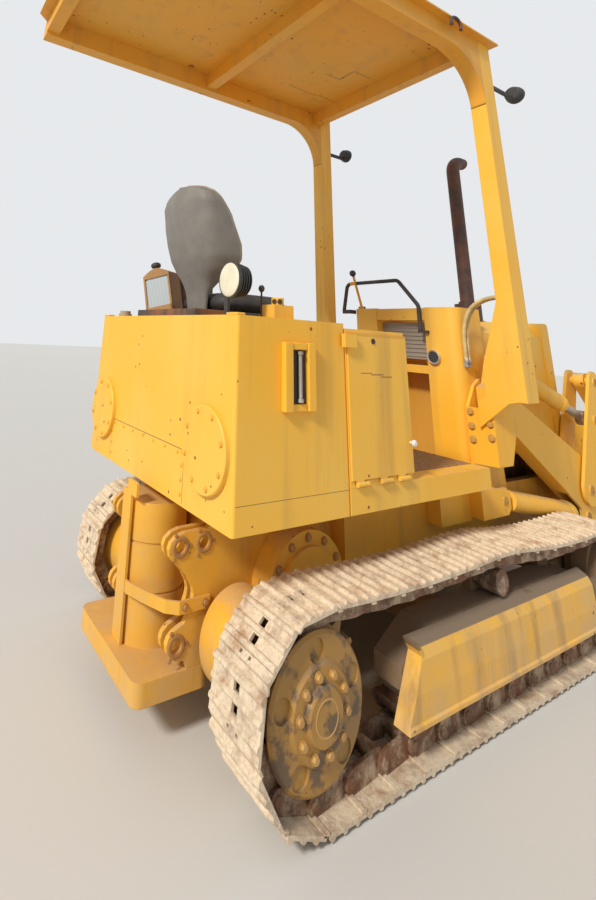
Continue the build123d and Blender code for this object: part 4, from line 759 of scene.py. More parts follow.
def softened(low_corner, high_corner, round_off=0.003):
    """A block with its edges cut back: four stacked outlines of eight corners, the outer two drawn in."""
    low_corner, high_corner = np.asarray(low_corner, float), np.asarray(high_corner, float)
    middle, half = (low_corner + high_corner) / 2, np.abs(high_corner - low_corner) / 2
    cut = min(round_off, 0.45 * half.min())
    rings = []
    for level, inset in ((-1, cut), (-1, 0), (1, 0), (1, cut)):
        z = level * (half[2] - (cut if inset == 0 else 0))
        x, y = half[0] - inset, half[1] - inset
        corner = cut if inset == 0 else 0.5 * cut
        rings += [
            (x, y - corner, z), (x - corner, y, z), (-x + corner, y, z), (-x, y - corner, z),
            (-x, -y + corner, z), (-x + corner, -y, z), (x - corner, -y, z), (x, -y + corner, z),
        ]
    faces = lattice(4, 8) + [tuple(range(8)), tuple(range(24, 32))]
    return np.array(rings) + middle, faces


GAUGE_FACE = -TANK_HALF - 0.0265
GAUGE_BACK = -0.6833
GAUGE_LOW, GAUGE_HIGH = 1.139, 1.388
WINDOW_REAR, WINDOW_FRONT = -0.044, 0.033
WINDOW_LOW, WINDOW_HIGH = 1.166, 1.361
gauge_shapes = [
    softened((-0.086, GAUGE_FACE, GAUGE_LOW), (WINDOW_REAR, GAUGE_BACK, GAUGE_HIGH)),
    softened((WINDOW_FRONT, GAUGE_FACE, GAUGE_LOW), (0.073, GAUGE_BACK, GAUGE_HIGH)),
    softened((WINDOW_REAR, GAUGE_FACE + 0.004, WINDOW_HIGH), (WINDOW_FRONT, GAUGE_BACK, GAUGE_HIGH)),
    softened((WINDOW_REAR, GAUGE_FACE + 0.010, GAUGE_LOW), (WINDOW_FRONT, GAUGE_BACK, WINDOW_LOW)),
]
gauge_frame = piece_of("gauge_frame", gauge_shapes, tank_paint)
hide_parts("sight_gauge")
# Near-black: the holes and the recess behind the gauge's tube are dark discs and a dark plate, painted
# shade, and the tap on the tank is black.
painted_hole_shade_and_tap = finish_of("painted_hole_shade_and_tap", bare_steel, {
    "Metal": (0.035, 0.025, 0.02, 1), "Rust": (0.06, 0.03, 0.02, 1), "Cake": 0.05,
}, depth=0.0004)
# The recess behind the gauge's tube is a dark plate: painted shade.
recess = softened((WINDOW_REAR, -0.690, WINDOW_LOW), (WINDOW_FRONT, -0.6835, WINDOW_HIGH), 0.001)
piece_of("gauge_recess", [recess], painted_hole_shade_and_tap)
bright_fitting = finish_of("bright_fitting", bare_steel, {
    "Metal": (0.48, 0.47, 0.44, 1), "Rust": (0.30, 0.25, 0.20, 1), "Clay": (0.5, 0.45, 0.38, 1),
    "Cake": 0.25,
}, depth=0.0004, edge=0.001, Metallic=0.6)
tube_half = 0.080
sight_tube = turned([
    (0, -tube_half - 0.012), (0.012, -tube_half - 0.012), (0.012, -tube_half), (0.0075, -tube_half),
    (0.0075, tube_half), (0.012, tube_half), (0.012, tube_half + 0.012), (0, tube_half + 0.012),
], 16)
piece_of("gauge_tube", [copies(sight_tube, (-0.002, -0.698, 1.264))], bright_fitting)
BREATHER = (0.002, -0.560, TANK_TOP + 0.072)
BREATHER_RADIUS = 0.0262
# The breather's two holes are dark discs on its side: painted shade.
hole = turned([(0, 0), (0.011, 0), (0.011, 0.001), (0, 0.001)], 14)
breather_holes = []
for c, s in ((0.95, 0.312), (0.35, 0.937)):
    place = (BREATHER[0] - BREATHER_RADIUS * c, BREATHER[1] - BREATHER_RADIUS * s, BREATHER[2])
    breather_holes.append(copies(hole, place, (-c, -s, 0)))
piece_of("breather_holes", breather_holes, painted_hole_shade_and_tap)
ball = turned([
    (0, 0), (0.004, 0), (0.004, 0.108), (0.008, 0.111), (0.0125, 0.118), (0.0135, 0.124), (0.0125, 0.130),
    (0.008, 0.137), (0, 0.139),
], 16)
piece_of("tank_tap", [copies(ball, (-0.064, -0.533, TANK_TOP))], painted_hole_shade_and_tap)
tabs = []
for out in (-1, 1):
    outer = (TANK_REAR + 0.001, out * (TANK_HALF - 0.002), TANK_TOP - 0.001)
    inner = (TANK_REAR + 0.040, out * (TANK_HALF - 0.075), TANK_TOP + 0.009)
    tabs.append(softened(outer, inner))
piece_of("tank_tabs", tabs, tank_paint)


# Side door: a flat panel on three knuckles along its foot, with a latch at its rear top corner, a hole
# and a white knob. A crack in its paint has rusted through.
DOOR_CRACK = (0.25, 0.09, 0.03, 1)
# A dark band along the door's top is painted shadow: the shaded gap above the door, painted on.
DOOR_TOP_PAINTED_SHADOW = (0.60, 0.26, 0.04, 1)
door_paint = finish_of("door_paint", weathering, dict(bodywork, Streaks=0.4, Spots=0.8), zones=(
    ((0.345, -0.70, 1.277), (0.415, -0.68, 1.281), DOOR_CRACK, 0.8),
    ((0.41, -0.70, 1.271), (0.49, -0.68, 1.276), DOOR_CRACK, 0.8),
    ((0.47, -0.70, 1.262), (0.545, -0.68, 1.267), DOOR_CRACK, 0.8),
    # painted shadow along the door's top
    ((0.27, -0.70, 1.428), (0.655, -0.68, 1.442), DOOR_TOP_PAINTED_SHADOW, 0.5),
))
dress(door_paint, "side_door")
DOOR_OUT = 0.692
knob = turned([
    (0, 0), (0.006, 0), (0.006, 0.008), (0.013, 0.014), (0.014, 0.022), (0.009, 0.028), (0, 0.029),
], 18)
white_knob = finish_of("white_knob", bare_steel, {
    "Metal": (0.75, 0.74, 0.70, 1), "Rust": (0.62, 0.58, 0.5, 1), "Cake": 0.1,
}, depth=0.0003, edge=0.001)
piece_of("door_knob", [copies(knob, (0.640, -DOOR_OUT, 1.000), (0, -1, 0))], white_knob, "side_door")
# The door's hole is a dark disc on its face: painted shade.
hole = turned([(0, 0), (0.012, 0), (0.012, 0.003), (0, 0.003)], 14)
piece_of("door_hole", [copies(hole, (0.432, -DOOR_OUT, 1.410), (0, -1, 0))], painted_hole_shade_and_tap, "side_door")


# Seat: a moulded shell with a rim band on its back, and black padded cushions. It stands on a plain iron
# base over the tank, beside an iron box.
block_iron = finish_of("block_iron", bare_steel, {
    "Metal": (0.05, 0.045, 0.04, 1), "Cake": 0.3,
}, depth=0.002)
dress(block_iron, "seat_base", "seat_console")
black_vinyl = finish_of("black_vinyl", bare_steel, {
    "Metal": (0.030, 0.029, 0.028, 1), "Rust": (0.055, 0.050, 0.045, 1), "Clay": (0.16, 0.13, 0.10, 1),
    "Pale Clay": (0.22, 0.19, 0.15, 1), "Cake": 0.18,
}, depth=0.0006)
shell_leather = finish_of("shell_leather", bare_steel, {
    "Metal": (0.185, 0.172, 0.155, 1), "Rust": (0.22, 0.20, 0.175, 1), "Clay": (0.26, 0.235, 0.205, 1),
    "Pale Clay": (0.30, 0.27, 0.235, 1), "Cake": 0.30,
}, depth=0.0008)


SHELL_FOOT, SHELL_TOP = 1.5103, 2.150
SHELL_WALL = 0.016


def by_height(z, *rows):
    """A size of the seat's shell by height, from rows of (height, size)."""
    heights, sizes = zip(*rows)
    return np.interp(z, heights, sizes)


def shell_line(z, share, inset=0.0):
    """The shell at a height, by the share across from -1 to 1: half of a superellipse, open to the front,
    whose depth and half width change with height."""
    half = by_height(
        z, (SHELL_FOOT, 0.085), (1.600, 0.100), (1.660, 0.135), (1.713, 0.195), (1.774, 0.232),
        (1.850, 0.242), (1.950, 0.242), (2.060, 0.235), (2.100, 0.210), (2.125, 0.165), (2.142, 0.100),
        (SHELL_TOP, 0.03),
    )
    depth = by_height(
        z, (SHELL_FOOT, 0.021), (1.600, 0.028), (1.660, 0.090), (1.713, 0.160), (1.774, 0.205),
        (1.840, 0.215), (1.990, 0.175), (2.080, 0.115), (2.135, 0.05), (SHELL_TOP, 0.02),
    )
    rear = by_height(
        z, (SHELL_FOOT, -0.072), (1.600, -0.082), (1.660, -0.105), (1.713, -0.130), (1.774, -0.158),
        (1.850, -0.182), (1.950, -0.202), (2.060, -0.212), (SHELL_TOP, -0.196),
    )
    turn = share * np.pi / 2
    x = rear + inset + (depth - inset) * (1 - np.abs(np.cos(turn)) ** 0.55)
    y = (half - inset) * np.sign(turn) * np.abs(np.sin(turn)) ** 0.60
    ridge = 0.008 * np.exp(-(share / 0.06) ** 2) * by_height(z, (1.85, 0), (2.0, 1), (SHELL_TOP, 1))
    return np.stack([x - ridge, y, z + 0 * x], -1)


def back_shell():
    """A wrapped shell: an outer wall along the shell's line and an inner one set in by its thickness."""
    z = np.concatenate([np.linspace(SHELL_FOOT, 2.10, 30), (2.12, 2.135, 2.144, SHELL_TOP)])
    share = np.linspace(-1, 1, 33)
    across_z, u = np.meshgrid(z, share, indexing="ij")
    inner = shell_line(across_z, u, SHELL_WALL)[:, ::-1]
    points = np.concatenate([shell_line(across_z, u), inner], 1)
    rows, columns = points.shape[:2]
    faces = lattice(rows, columns)
    half = columns // 2
    for row in (0, rows - 1):
        first = row * columns
        last = first + columns - 1
        faces += [(first + c, first + c + 1, last - 1 - c, last - c) for c in range(half - 1)]
    return points.reshape(-1, 3), faces


shell = piece_of("seat_back_shell", [back_shell()], shell_leather, sharp=60)
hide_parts("seat_back")


def swept(path, radius, sides, beside=(1.0, 0.0, 0.0)):
    """A round tube: a ring of points at each point of a path, square to it, closed at both ends. The
    radius may be one for each point, and the path never runs along the direction beside it."""
    path = np.asarray(path, float)
    way = np.gradient(path, axis=0)
    way /= np.linalg.norm(way, axis=1)[:, None]
    flat = np.cross(way, beside)
    flat /= np.linalg.norm(flat, axis=1)[:, None]
    up = np.cross(flat, way)
    angle = 2 * np.pi * np.arange(sides) / sides
    ring = flat[:, None] * np.cos(angle)[:, None] + up[:, None] * np.sin(angle)[:, None]
    reach = np.broadcast_to(radius, len(path))[:, None, None]
    start, end = path[:1, None] + 0 * ring[:1], path[-1:, None] + 0 * ring[:1]
    points = np.concatenate([start, path[:, None] + reach * ring, end])
    return points.reshape(-1, 3), lattice(len(path) + 2, sides)


RIM_RADIUS = 0.010


def rim_band():
    """A tube along the shell's open edge: up one side, over the top and down the other."""
    z = np.concatenate([np.linspace(1.70, 2.10, 18), (2.125, 2.138, 2.147)])
    side = shell_line(z, 1.0, SHELL_WALL / 2)
    return swept(np.concatenate([side, (side * (1, -1, 1))[::-1]]), RIM_RADIUS, 10)


rim_leather = finish_of("rim_leather", bare_steel, {
    "Metal": (0.30, 0.25, 0.19, 1), "Rust": (0.24, 0.19, 0.14, 1), "Clay": (0.38, 0.32, 0.25, 1),
    "Pale Clay": (0.42, 0.36, 0.28, 1), "Cake": 0.25,
}, depth=0.0006)
piece_of("seat_rim", [rim_band()], rim_leather)


def pillow(low_corner, high_corner, steps=14):
    """A crowned block: a superellipsoid, whose coordinates are signed powers of cos and sin, 0.5 and 0.6
    up its height and 0.32 round it."""
    low_corner, high_corner = np.asarray(low_corner, float), np.asarray(high_corner, float)
    middle, half = (low_corner + high_corner) / 2, (high_corner - low_corner) / 2
    rise = np.linspace(-np.pi / 2, np.pi / 2, 2 * steps + 1)
    turn = 2 * np.pi * np.arange(4 * steps) / (4 * steps)
    rise, turn = np.meshgrid(rise, turn, indexing="ij")

    def bent(value, power):
        return np.sign(value) * np.abs(value) ** power

    x = bent(np.cos(rise), 0.5) * bent(np.cos(turn), 0.32)
    y = bent(np.cos(rise), 0.5) * bent(np.sin(turn), 0.32)
    z = bent(np.sin(rise), 0.6)
    points = np.stack([x, y, z], -1).reshape(-1, 3) * half + middle
    return points, lattice(2 * steps + 1, 4 * steps)


# The furthest that the filling pushes the cover out, and the frames that the cloth is given
FILL_REACH = 0.010
FILL_FRAMES = 12


def padded_piece(name, low_corner, high_corner):
    """A cushion blown up a little by Blender's cloth, from a shape smaller than its place."""
    pad = piece_of(name, [pillow(low_corner, high_corner)], black_vinyl, sharp=180)
    bpy.context.view_layer.objects.active = pad
    remesh = pad.modifiers.new("voxels", "REMESH")
    remesh.mode = "VOXEL"
    remesh.voxel_size = 0.009
    bpy.ops.object.select_all(action="DESELECT")
    pad.select_set(True)
    bpy.ops.object.modifier_apply(modifier="voxels")
    start = np.array([v.co for v in pad.data.vertices])
    cloth = pad.modifiers.new("filling", "CLOTH")
    cloth.settings.use_pressure = True
    cloth.settings.uniform_pressure_force = 4
    cloth.settings.effector_weights.gravity = 0
    for step in range(1, FILL_FRAMES + 1):
        scene.frame_set(step)
    bpy.ops.object.modifier_apply(modifier="filling")
    scene.frame_set(1)
    end = np.array([v.co for v in pad.data.vertices])
    moved = end - start
    far = np.linalg.norm(moved, axis=1)[:, None]
    end = start + moved * np.minimum(1, FILL_REACH / np.maximum(far, 1e-9))
    pad.data.vertices.foreach_set("co", end.ravel())
    pad.data.update()
    pad.data.shade_smooth()
    return pad


seat_pad = padded_piece("seat_cushion_pad", (-0.045, -0.240, 1.5205), (0.380, 0.240, 1.602))
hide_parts("seat_cushion")
padded_piece("seat_back_pad", (-0.132, -0.180, 1.735), (-0.080, 0.180, 2.040))


# Work lamps: a tall old lamp in a rusty housing and a round lamp stand beside the seat, and a bar holds
# one round lamp ahead of each canopy post.
lamp_rust = finish_of("lamp_rust", weathering, {
    "Paint": (0.42, 0.22, 0.07, 1), "Faded": (0.22, 0.11, 0.05, 1), "Rust": RUST, "Chips": 0.9,
    "Spots": 0.8, "Streaks": 0.6, "Dust": CLAY, "Dirt": 0.4,
}, depth=0.001)
glass = bpy.data.materials.new("lamp_glass")
glass.use_nodes = True
tree = glass.node_tree
pane = tree.nodes["Principled BSDF"]
place = node(tree, "TexCoord").outputs["Object"]
ribs = node(tree, "TexWave", {"Vector": place, "Scale": 38.0}, bands_direction="Y").outputs[1]
tree.links.new(mixed(tree, ribs, (0.55, 0.60, 0.62, 1), (0.36, 0.42, 0.46, 1)), pane.inputs["Base Color"])
ribbed = node(tree, "Bump", {"Height": ribs, "Distance": 0.001}).outputs[0]
tree.links.new(ribbed, pane.inputs["Normal"])
pane.inputs["Roughness"].default_value = 0.18
pane.inputs["Coat Weight"].default_value = 0.6
black_plastic = finish_of("black_plastic", bare_steel, {
    "Metal": (0.028, 0.028, 0.030, 1), "Rust": (0.05, 0.047, 0.045, 1), "Clay": (0.2, 0.17, 0.13, 1),
    "Pale Clay": (0.25, 0.21, 0.17, 1), "Cake": 0.08,
}, depth=0.0005)
cream_glass = finish_of("cream_glass", bare_steel, {
    "Metal": (0.80, 0.76, 0.58, 1), "Rust": (0.72, 0.66, 0.48, 1), "Clay": (0.70, 0.62, 0.42, 1),
    "Pale Clay": (0.85, 0.8, 0.62, 1), "Cake": 0.2,
}, depth=0.0005, Coat_Weight=0.6)


def arched(x0, x1, y0, y1, z0, z1, rise):
    """A box with a cosine arch for its top: z1 less rise times (1 - cos) across its width."""
    u = np.linspace(-1, 1, 13)
    top = z1 - rise * (1 - np.cos(u * np.pi / 2))
    y = (y0 + y1) / 2 + (y1 - y0) / 2 * u
    outline = np.concatenate([np.stack([y, top], 1), [(y1, z0), (y0, z0)]])
    count = len(outline)
    points = np.concatenate([
        np.column_stack([np.full(count, x), outline]) for x in (x0, x1)
    ])
    return points, lattice(2, count) + [tuple(range(count)), tuple(range(count, 2 * count))]


def leaning(shape, place, turn, lean):
    """A shape leaned over in its own face, turned about the upright and set at a place."""
    points, faces = shape
    c, s = math.cos(turn), math.sin(turn)
    e, f = math.cos(lean), math.sin(lean)
    leaned = points @ np.array([(1, 0, 0), (0, e, f), (0, -f, e)]).T
    return leaned @ np.array([(c, -s, 0), (s, c, 0), (0, 0, 1)]).T + place, faces


TALL_WIDTH, TALL_DEPTH, TALL_HEIGHT = 0.172, 0.125, 0.262
TALL_PLACE = (-0.112, 0.309, TANK_TOP + 0.022)
TALL_TURN, TALL_LEAN = math.radians(32), math.radians(12)
TALL_RISE = 0.035
FACE_DEPTH = 0.016
FACE_BORDER = 0.012
FACE_FOOT = 0.045
KNOB_PLACE = (0.05, 0.02, TALL_HEIGHT - 0.003)
half = TALL_WIDTH / 2
knob_stem = turned([(0, 0), (0.014, 0), (0.010, 0.014), (0.010, 0.020), (0, 0.020)], 14)
tall_shapes = [
    arched(0.012, TALL_DEPTH, -half, half, 0, TALL_HEIGHT, TALL_RISE),
    arched(0, FACE_DEPTH, -half, FACE_BORDER - half, 0, TALL_HEIGHT - 0.05, 0),
    arched(0, FACE_DEPTH, half - FACE_BORDER, half, 0, TALL_HEIGHT - 0.05, 0),
    arched(0, FACE_DEPTH, -half, half, TALL_HEIGHT - 0.052, TALL_HEIGHT, TALL_RISE),
    arched(0, FACE_DEPTH, -half, half, 0, FACE_FOOT, 0),
    copies(knob_stem, KNOB_PLACE),
]
tall_shapes = [leaning(shape, TALL_PLACE, TALL_TURN, TALL_LEAN) for shape in tall_shapes]
tall_shapes.append(softened((-0.10, 0.29, TANK_TOP + 0.0003), (0.0, 0.38, TANK_TOP + 0.05)))
piece_of("tall_lamp", tall_shapes, lamp_rust)
edge = half - FACE_BORDER
tall_glass = arched(0.007, 0.0125, -edge, edge, FACE_FOOT, TALL_HEIGHT - 0.03, 0.03)
piece_of("tall_lamp_glass", [leaning(tall_glass, TALL_PLACE, TALL_TURN, TALL_LEAN)], glass)
knob = copies(turned([
    (0, 0.018), (0.026, 0.020), (0.030, 0.028), (0.028, 0.040), (0.016, 0.048), (0, 0.050),
], 20), KNOB_PLACE)
piece_of("tall_lamp_knob", [leaning(knob, TALL_PLACE, TALL_TURN, TALL_LEAN)], black_plastic)
ROUND_LAMP = (-0.205, -0.522, 1.622)
LENS_SEAT = 0.0215
fins = []
for step in range(4):
    start, root = -0.050 + 0.014 * step, 0.050 + 0.003 * step
    fins += [(root, start), (root + 0.014, start)]
    fins += [(root + 0.014, start + 0.005), (root + 0.002, start + 0.005)]
round_body = turned([(0, -0.058), (0.040, -0.058)] + fins + [
    (0.062, 0.002), (0.072, 0.002), (0.077, 0.008), (0.077, 0.020), (0.070, LENS_SEAT), (0, LENS_SEAT),
], 36)
lens = turned([(0, 0), (0.070, 0), (0.068, 0.0010), (0.045, 0.0022), (0, 0.0030)], 36)
stalk = softened((-0.226, -0.512, TANK_TOP + 0.0003), (-0.210, -0.488, 1.562))
post_lamp = turned([
    (0, -0.032), (0.042, -0.032), (0.050, -0.026), (0.056, 0.004), (0.0585, 0.006), (0.0585, 0.024),
    (0.052, 0.026), (0, 0.026),
], 36)
lamp_bodies = [copies(round_body, ROUND_LAMP, (-1, 0, 0)), stalk]
lenses = [copies(lens, (ROUND_LAMP[0] - LENS_SEAT, ROUND_LAMP[1], ROUND_LAMP[2]), (-1, 0, 0))]
post_lens = turned([(0, 0), (0.056, 0), (0.054, 0.0010), (0.036, 0.0022), (0, 0.0030)], 36)
clear = []
LAMP_X, LAMP_Y, LAMP_Z = 1.942, 0.743, 3.085
POST_FRONT = 1.6603
for out in (-1, 1):
    lamp_bodies.append(copies(post_lamp, (LAMP_X, out * LAMP_Y, LAMP_Z), (1, 0, 0)))
    near = (POST_FRONT, out * LAMP_Y - 0.008, LAMP_Z - 0.052)
    far = (LAMP_X - 0.020, out * LAMP_Y + 0.008, LAMP_Z - 0.022)
    lamp_bodies.append(softened(near, far))
    clear.append(copies(post_lens, (LAMP_X + 0.026, out * LAMP_Y, LAMP_Z), (1, 0, 0)))
lamp_piece = piece_of("lamp_bodies", lamp_bodies, black_plastic)
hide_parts("lamps")
piece_of("round_lamp_lens", lenses, cream_glass)
piece_of("work_lamp_glass", clear, glass)


# Cowl, levers and hoses: the dash between two rounded pillars, with a ribbed grey plate and a round gauge,
# a black grab handle, a yellow lever and two hoses in spiral wrap on the right-hand side.
DASH_GREY = (0.30, 0.29, 0.27, 1)
# The cowl's lower panel below the dash is painted darker orange: painted shade.
LOWER_COWL_PAINTED_SHADE = (0.50, 0.26, 0.05, 1)
cowl_paint = finish_of("cowl_paint", weathering, bodywork, zones=(
    ((1.610, -0.184, 1.325), (1.630, 0.184, 1.556), DASH_GREY, 0.9),
    # painted shade on the cowl's lower panel
    ((1.570, -0.184, 0.65), (1.800, 0.184, 1.236), LOWER_COWL_PAINTED_SHADE, 0.7),
))
dress(cowl_paint, "cowl")
GAUGE_PLACE = (1.5484, -0.238, 1.344)
bezel = turned([
    (0.0335, 0), (0.043, 0), (0.043, 0.004), (0.039, 0.007), (0.0335, 0.005), (0.0335, 0),
], 32)
dial = turned([(0, 0), (0.034, 0), (0.034, 0.002), (0, 0.0028)], 32)
piece_of("dash_gauge_bezel", [copies(bezel, GAUGE_PLACE, (-1, 0, 0))], bright_fitting)
piece_of("dash_gauge_dial", [copies(dial, GAUGE_PLACE, (-1, 0, 0))], black_plastic)
lever_paint = finish_of("lever_paint", bare_steel, {
    "Metal": (0.035, 0.033, 0.032, 1), "Rust": (0.07, 0.05, 0.04, 1), "Clay": (0.25, 0.18, 0.1, 1),
    "Pale Clay": (0.3, 0.22, 0.14, 1), "Cake": 0.15,
}, depth=0.0004, edge=0.001, zones=(
    ((1.575, 0.335, 1.650), (1.660, 0.392, 1.888), YELLOW, 0.95),
    ((1.530, 0.335, 1.72), (1.660, 0.392, 1.888), YELLOW, 0.95),
))
dress(lever_paint, "control_levers")
HOSES_X = (1.600, 1.628)
HOSE_OUT = -0.4140
HOSE_FOOT = 1.299
HOSE_START = 1.322
HOSE_BEND = 1.430
HOSE_RADIUS = 0.0112
WRAP_DEPTH = 0.0009
WRAP_PITCH = 0.013
COWL_SIDE = -0.4003
POST_INNER = -0.6567


def hose_line(x):
    """A straight rise, then a cubic curve over to the post: its four control points share one plane."""
    t = np.linspace(0, 1, 150)[:, None]
    control = np.array([
        (x, HOSE_OUT, HOSE_BEND), (x, HOSE_OUT, 1.650), (x, -0.520, 1.704), (x, POST_INNER, 1.702),
    ])
    curve = (1 - t) ** 3 * control[0] + 3 * t * (1 - t) ** 2 * control[1]
    curve += 3 * t ** 2 * (1 - t) * control[2] + t ** 3 * control[3]
    rise = np.linspace(HOSE_START, HOSE_BEND, 40, endpoint=False)
    return np.concatenate([np.stack([0 * rise + x, 0 * rise + HOSE_OUT, rise], 1), curve])


def wrapped_hose(x):
    """A tube whose radius steps in and out along its length, as the turns of its wrap do."""
    line = hose_line(x)
    length = np.concatenate([[0], np.cumsum(np.linalg.norm(np.diff(line, axis=0), axis=1))])
    turn = np.sin(2 * np.pi * length / WRAP_PITCH)
    return swept(line, HOSE_RADIUS + WRAP_DEPTH * np.tanh(3 * turn), 12)


hose_wrap = finish_of("hose_wrap", bare_steel, {
    "Metal": (0.74, 0.58, 0.24, 1), "Rust": (0.50, 0.36, 0.16, 1), "Clay": (0.62, 0.50, 0.26, 1),
    "Pale Clay": (0.80, 0.68, 0.36, 1), "Cake": 0.40, "Speckle": 0.3,
}, depth=0.001)
hose_piece = piece_of("wrapped_hoses", [wrapped_hose(x) for x in HOSES_X], hose_wrap, sharp=180)
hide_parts("hoses")
fittings = []
hexagon = turned([
    (0, -0.013), (0.013, -0.013), (0.0145, -0.010), (0.0145, 0.010), (0.013, 0.013), (0, 0.013),
], 6)
for x in HOSES_X:
    low_corner = (x - 0.011, HOSE_OUT - 0.009, HOSE_FOOT)
    fittings.append(softened(low_corner, (x + 0.011, COWL_SIDE, HOSE_FOOT + 0.024)))
    fittings.append(copies(hexagon, (x, HOSE_OUT - 0.0005, HOSE_START + 0.014)))
piece_of("hose_fittings", fittings, bright_fitting)


# Canopy: two box-section posts on plate feet, side beams with arched corners, cross members and a roof
# sheet with its rear corners cut off, whose paint has cracked underneath. A bent rod on each edge of the
# sheet is a lifting loop.
canopy_paint = finish_of("canopy_paint", weathering, dict(bodywork, Streaks=0.4, Chips=0.4, Spots=0.7))
dress(canopy_paint, "canopy_posts")
CRACK_COLOUR = (0.20, 0.06, 0.015, 1)
roof_paint = finish_of("roof_paint", weathering, {
    "Paint": (0.80, 0.36, 0.026, 1), "Faded": (0.74, 0.38, 0.05, 1), "Rust": (0.22, 0.07, 0.02, 1),
    "Dust": (0.60, 0.42, 0.22, 1), "Chips": 0.75, "Spots": 0.9, "Streaks": 0.3, "Dirt": 0.3,
    "Low Dirt": 0.0,
}, depth=0.0015, zones=(
    ((0.94, 0.401, 3.340), (1.26, 0.407, 3.3455), CRACK_COLOUR, 0.8),
    ((1.25, 0.388, 3.340), (1.45, 0.394, 3.3455), CRACK_COLOUR, 0.8),
    ((1.06, 0.112, 3.340), (1.19, 0.118, 3.3455), CRACK_COLOUR, 0.8),
    ((1.19, -0.03, 3.340), (1.20, 0.115, 3.3455), CRACK_COLOUR, 0.8),
    ((1.20, -0.035, 3.340), (1.37, -0.028, 3.3455), CRACK_COLOUR, 0.7),
))
dress(roof_paint, "canopy_roof")
LOOP_X, LOOP_Z = 1.200, 3.295
LOOP_OUT = 0.8095
LOOP_ROD = 0.010
arc = np.linspace(-0.15 * np.pi, 1.15 * np.pi, 22)
loop_paths = [
    np.stack([LOOP_X + 0.050 * np.cos(arc), 0 * arc + out * LOOP_OUT, LOOP_Z + 0.048 * np.sin(arc)], 1)
    for out in (-1, 1)
]
rusty_pipe = finish_of("rusty_pipe", bare_steel, {
    "Metal": (0.06, 0.035, 0.03, 1), "Rust": (0.13, 0.055, 0.035, 1), "Cake": 0.05,
}, depth=0.001)
piece_of("roof_loops", [swept(path, LOOP_ROD, 10, (0.0, 1.0, 0.0)) for path in loop_paths], rusty_pipe)


# Hood, guard, engine and exhaust: sheet metal over a plain iron block, with bolts along the hood's top
# and a purple-brown rusted pipe on a flanged foot.
hood_paint = finish_of("hood_paint", weathering, dict(bodywork, Dirt=0.4))
dress(hood_paint, "hood", "radiator_guard")
dress(block_iron, "engine")
dress(rusty_pipe, "exhaust")
HOOD_TOP = 1.590
HOOD_HALF = 0.385
bolt_places = [(x, out * (HOOD_HALF - 0.11), HOOD_TOP) for x in (1.87, 2.1, 2.33, 2.56) for out in (-1, 1)]
piece_of("hood_bolts", bolts(bolt_places, (0, 0, 1), 0.009, 0.007), painted_bolts)
EXHAUST_PLACE = (2.000, -0.230, HOOD_TOP + 0.1103)
clamp = turned([(0.0445, 0), (0.055, 0.001), (0.055, 0.017), (0.0445, 0.018), (0.0445, 0)], 28)
piece_of("exhaust_clamp", [copies(clamp, EXHAUST_PLACE, (0, 0, 1))], rusty_pipe)


# Loader: welded arms on pins in the towers, bell-crank levers and links, and four cylinders with bright
# rods. Each pin's end is a worn disc with a grease nipple, and bolts hold each tower's rear flange.
bodywork_paint = finish_of(
    "bodywork_paint", weathering, dict(bodywork, Dust=CLAY, Chips=0.5, Spots=0.7, Dirt=0.5),
)
dress(bodywork_paint, "loader_towers", "lift_arms")
bright_rod = finish_of("bright_rod", bare_steel, {
    "Metal": (0.55, 0.55, 0.56, 1), "Rust": (0.42, 0.40, 0.38, 1), "Cake": 0.0,
}, depth=0.0002, edge=0.001, Metallic=1.0)
for hand in ("right", "left"):
    dress(bodywork_paint, "lever_" + hand, "bucket_link_" + hand)
    dress(bodywork_paint, "lift_barrel_" + hand, "tilt_barrel_" + hand)
    dress(bright_rod, "lift_rod_" + hand, "tilt_rod_" + hand)
TOWER_REAR = 1.5603
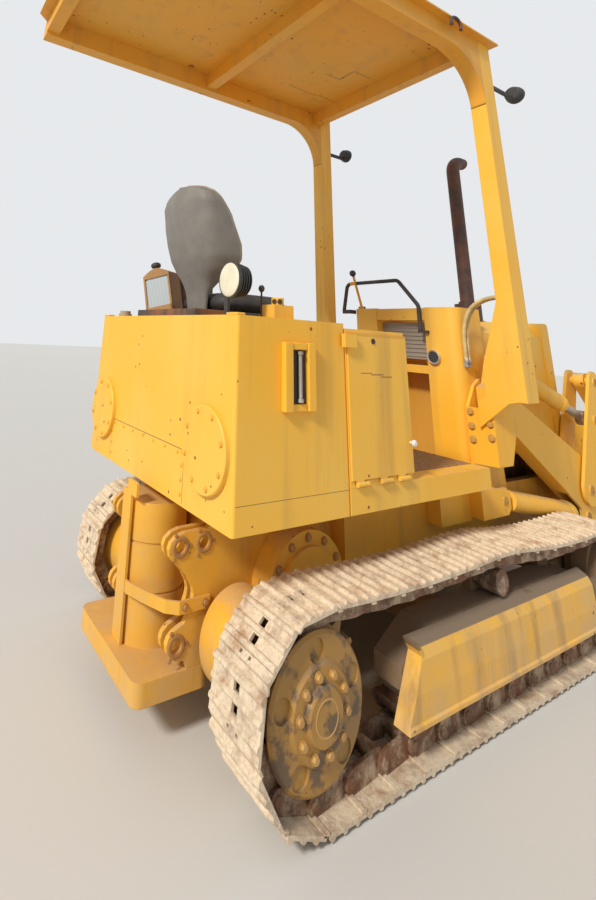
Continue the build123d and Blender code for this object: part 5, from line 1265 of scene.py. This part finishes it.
# Bolts of a tower's flange by their distance out and height
FLANGE_BOLTS = ((0.430, 1.060), (0.430, 0.985), (0.430, 0.915), (0.535, 1.010), (0.535, 0.940))
bolt_places = [(TOWER_REAR, out * y, z) for out in (-1, 1) for y, z in FLANGE_BOLTS]
piece_of("tower_bolts", bolts(bolt_places, (-1, 0, 0), 0.017, 0.014), old_bolts)
# Pins: the body that each rides with, its place (x, z), its end's distance out and its radius
LOADER_PINS = (
    ("chassis", (1.710, 1.115), 0.562, 0.032),
    ("chassis", (1.640, 0.628), 0.526, 0.026),
    ("arms", (2.575, 0.600), 0.560, 0.032),
    ("arms", (1.805, 1.340), 0.534, 0.026),
    ("arms", (2.540, 0.452), 0.536, 0.032),
    ("bucket", (3.380, 0.250), 0.560, 0.032),
    ("lever", (2.876, 1.232), 0.562, 0.028),
    ("lever", (2.790, 0.995), 0.562, 0.030),
)
nipple = turned([
    (0, 0.002), (0.006, 0.002), (0.006, 0.006), (0.003, 0.008), (0.003, 0.011), (0, 0.011),
], 10)
for hand, side in (("right", -1), ("left", 1)):
    for ride_with in ("chassis", "arms", "bucket", "lever"):
        ends_here = []
        for body, (x, z), reach, radius in LOADER_PINS:
            if body == ride_with:
                face = (x, side * reach, z)
                disc = turned([(0, 0), (0.82 * radius, 0), (0.75 * radius, 0.003), (0, 0.003)], 24)
                ends_here += [copies(disc, face, (0, side, 0)), copies(nipple, face, (0, side, 0))]
        body = ride_with + "_" + hand if ride_with == "lever" else ride_with
        piece_of("pin_ends_" + ride_with + "_" + hand, ends_here, old_bolts, body)


# Bucket: plate bent in an arc between two side plates, with a straight floor that the ground has rubbed
# bare along its cutting edge. Eight teeth stand along the edge.
GROUND_STEEL = (0.30, 0.27, 0.25, 1)
bucket_paint = finish_of("bucket_paint", weathering, {
    "Paint": YELLOW, "Faded": (0.40, 0.22, 0.10, 1), "Rust": (0.15, 0.06, 0.03, 1), "Dust": CLAY,
    "Chips": 0.9, "Spots": 0.9, "Streaks": 0.7, "Dirt": 0.7, "Low Dirt": 0.5,
}, depth=0.003, zones=(
    ((3.60, -0.90, 0.0), (4.40, 0.90, 0.045), GROUND_STEEL, 0.8),
))
dress(bucket_paint, "bucket")
dress(roller_steel, "bucket_teeth")


# The machine's box as dressed: every shown piece but the floor
low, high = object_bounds()
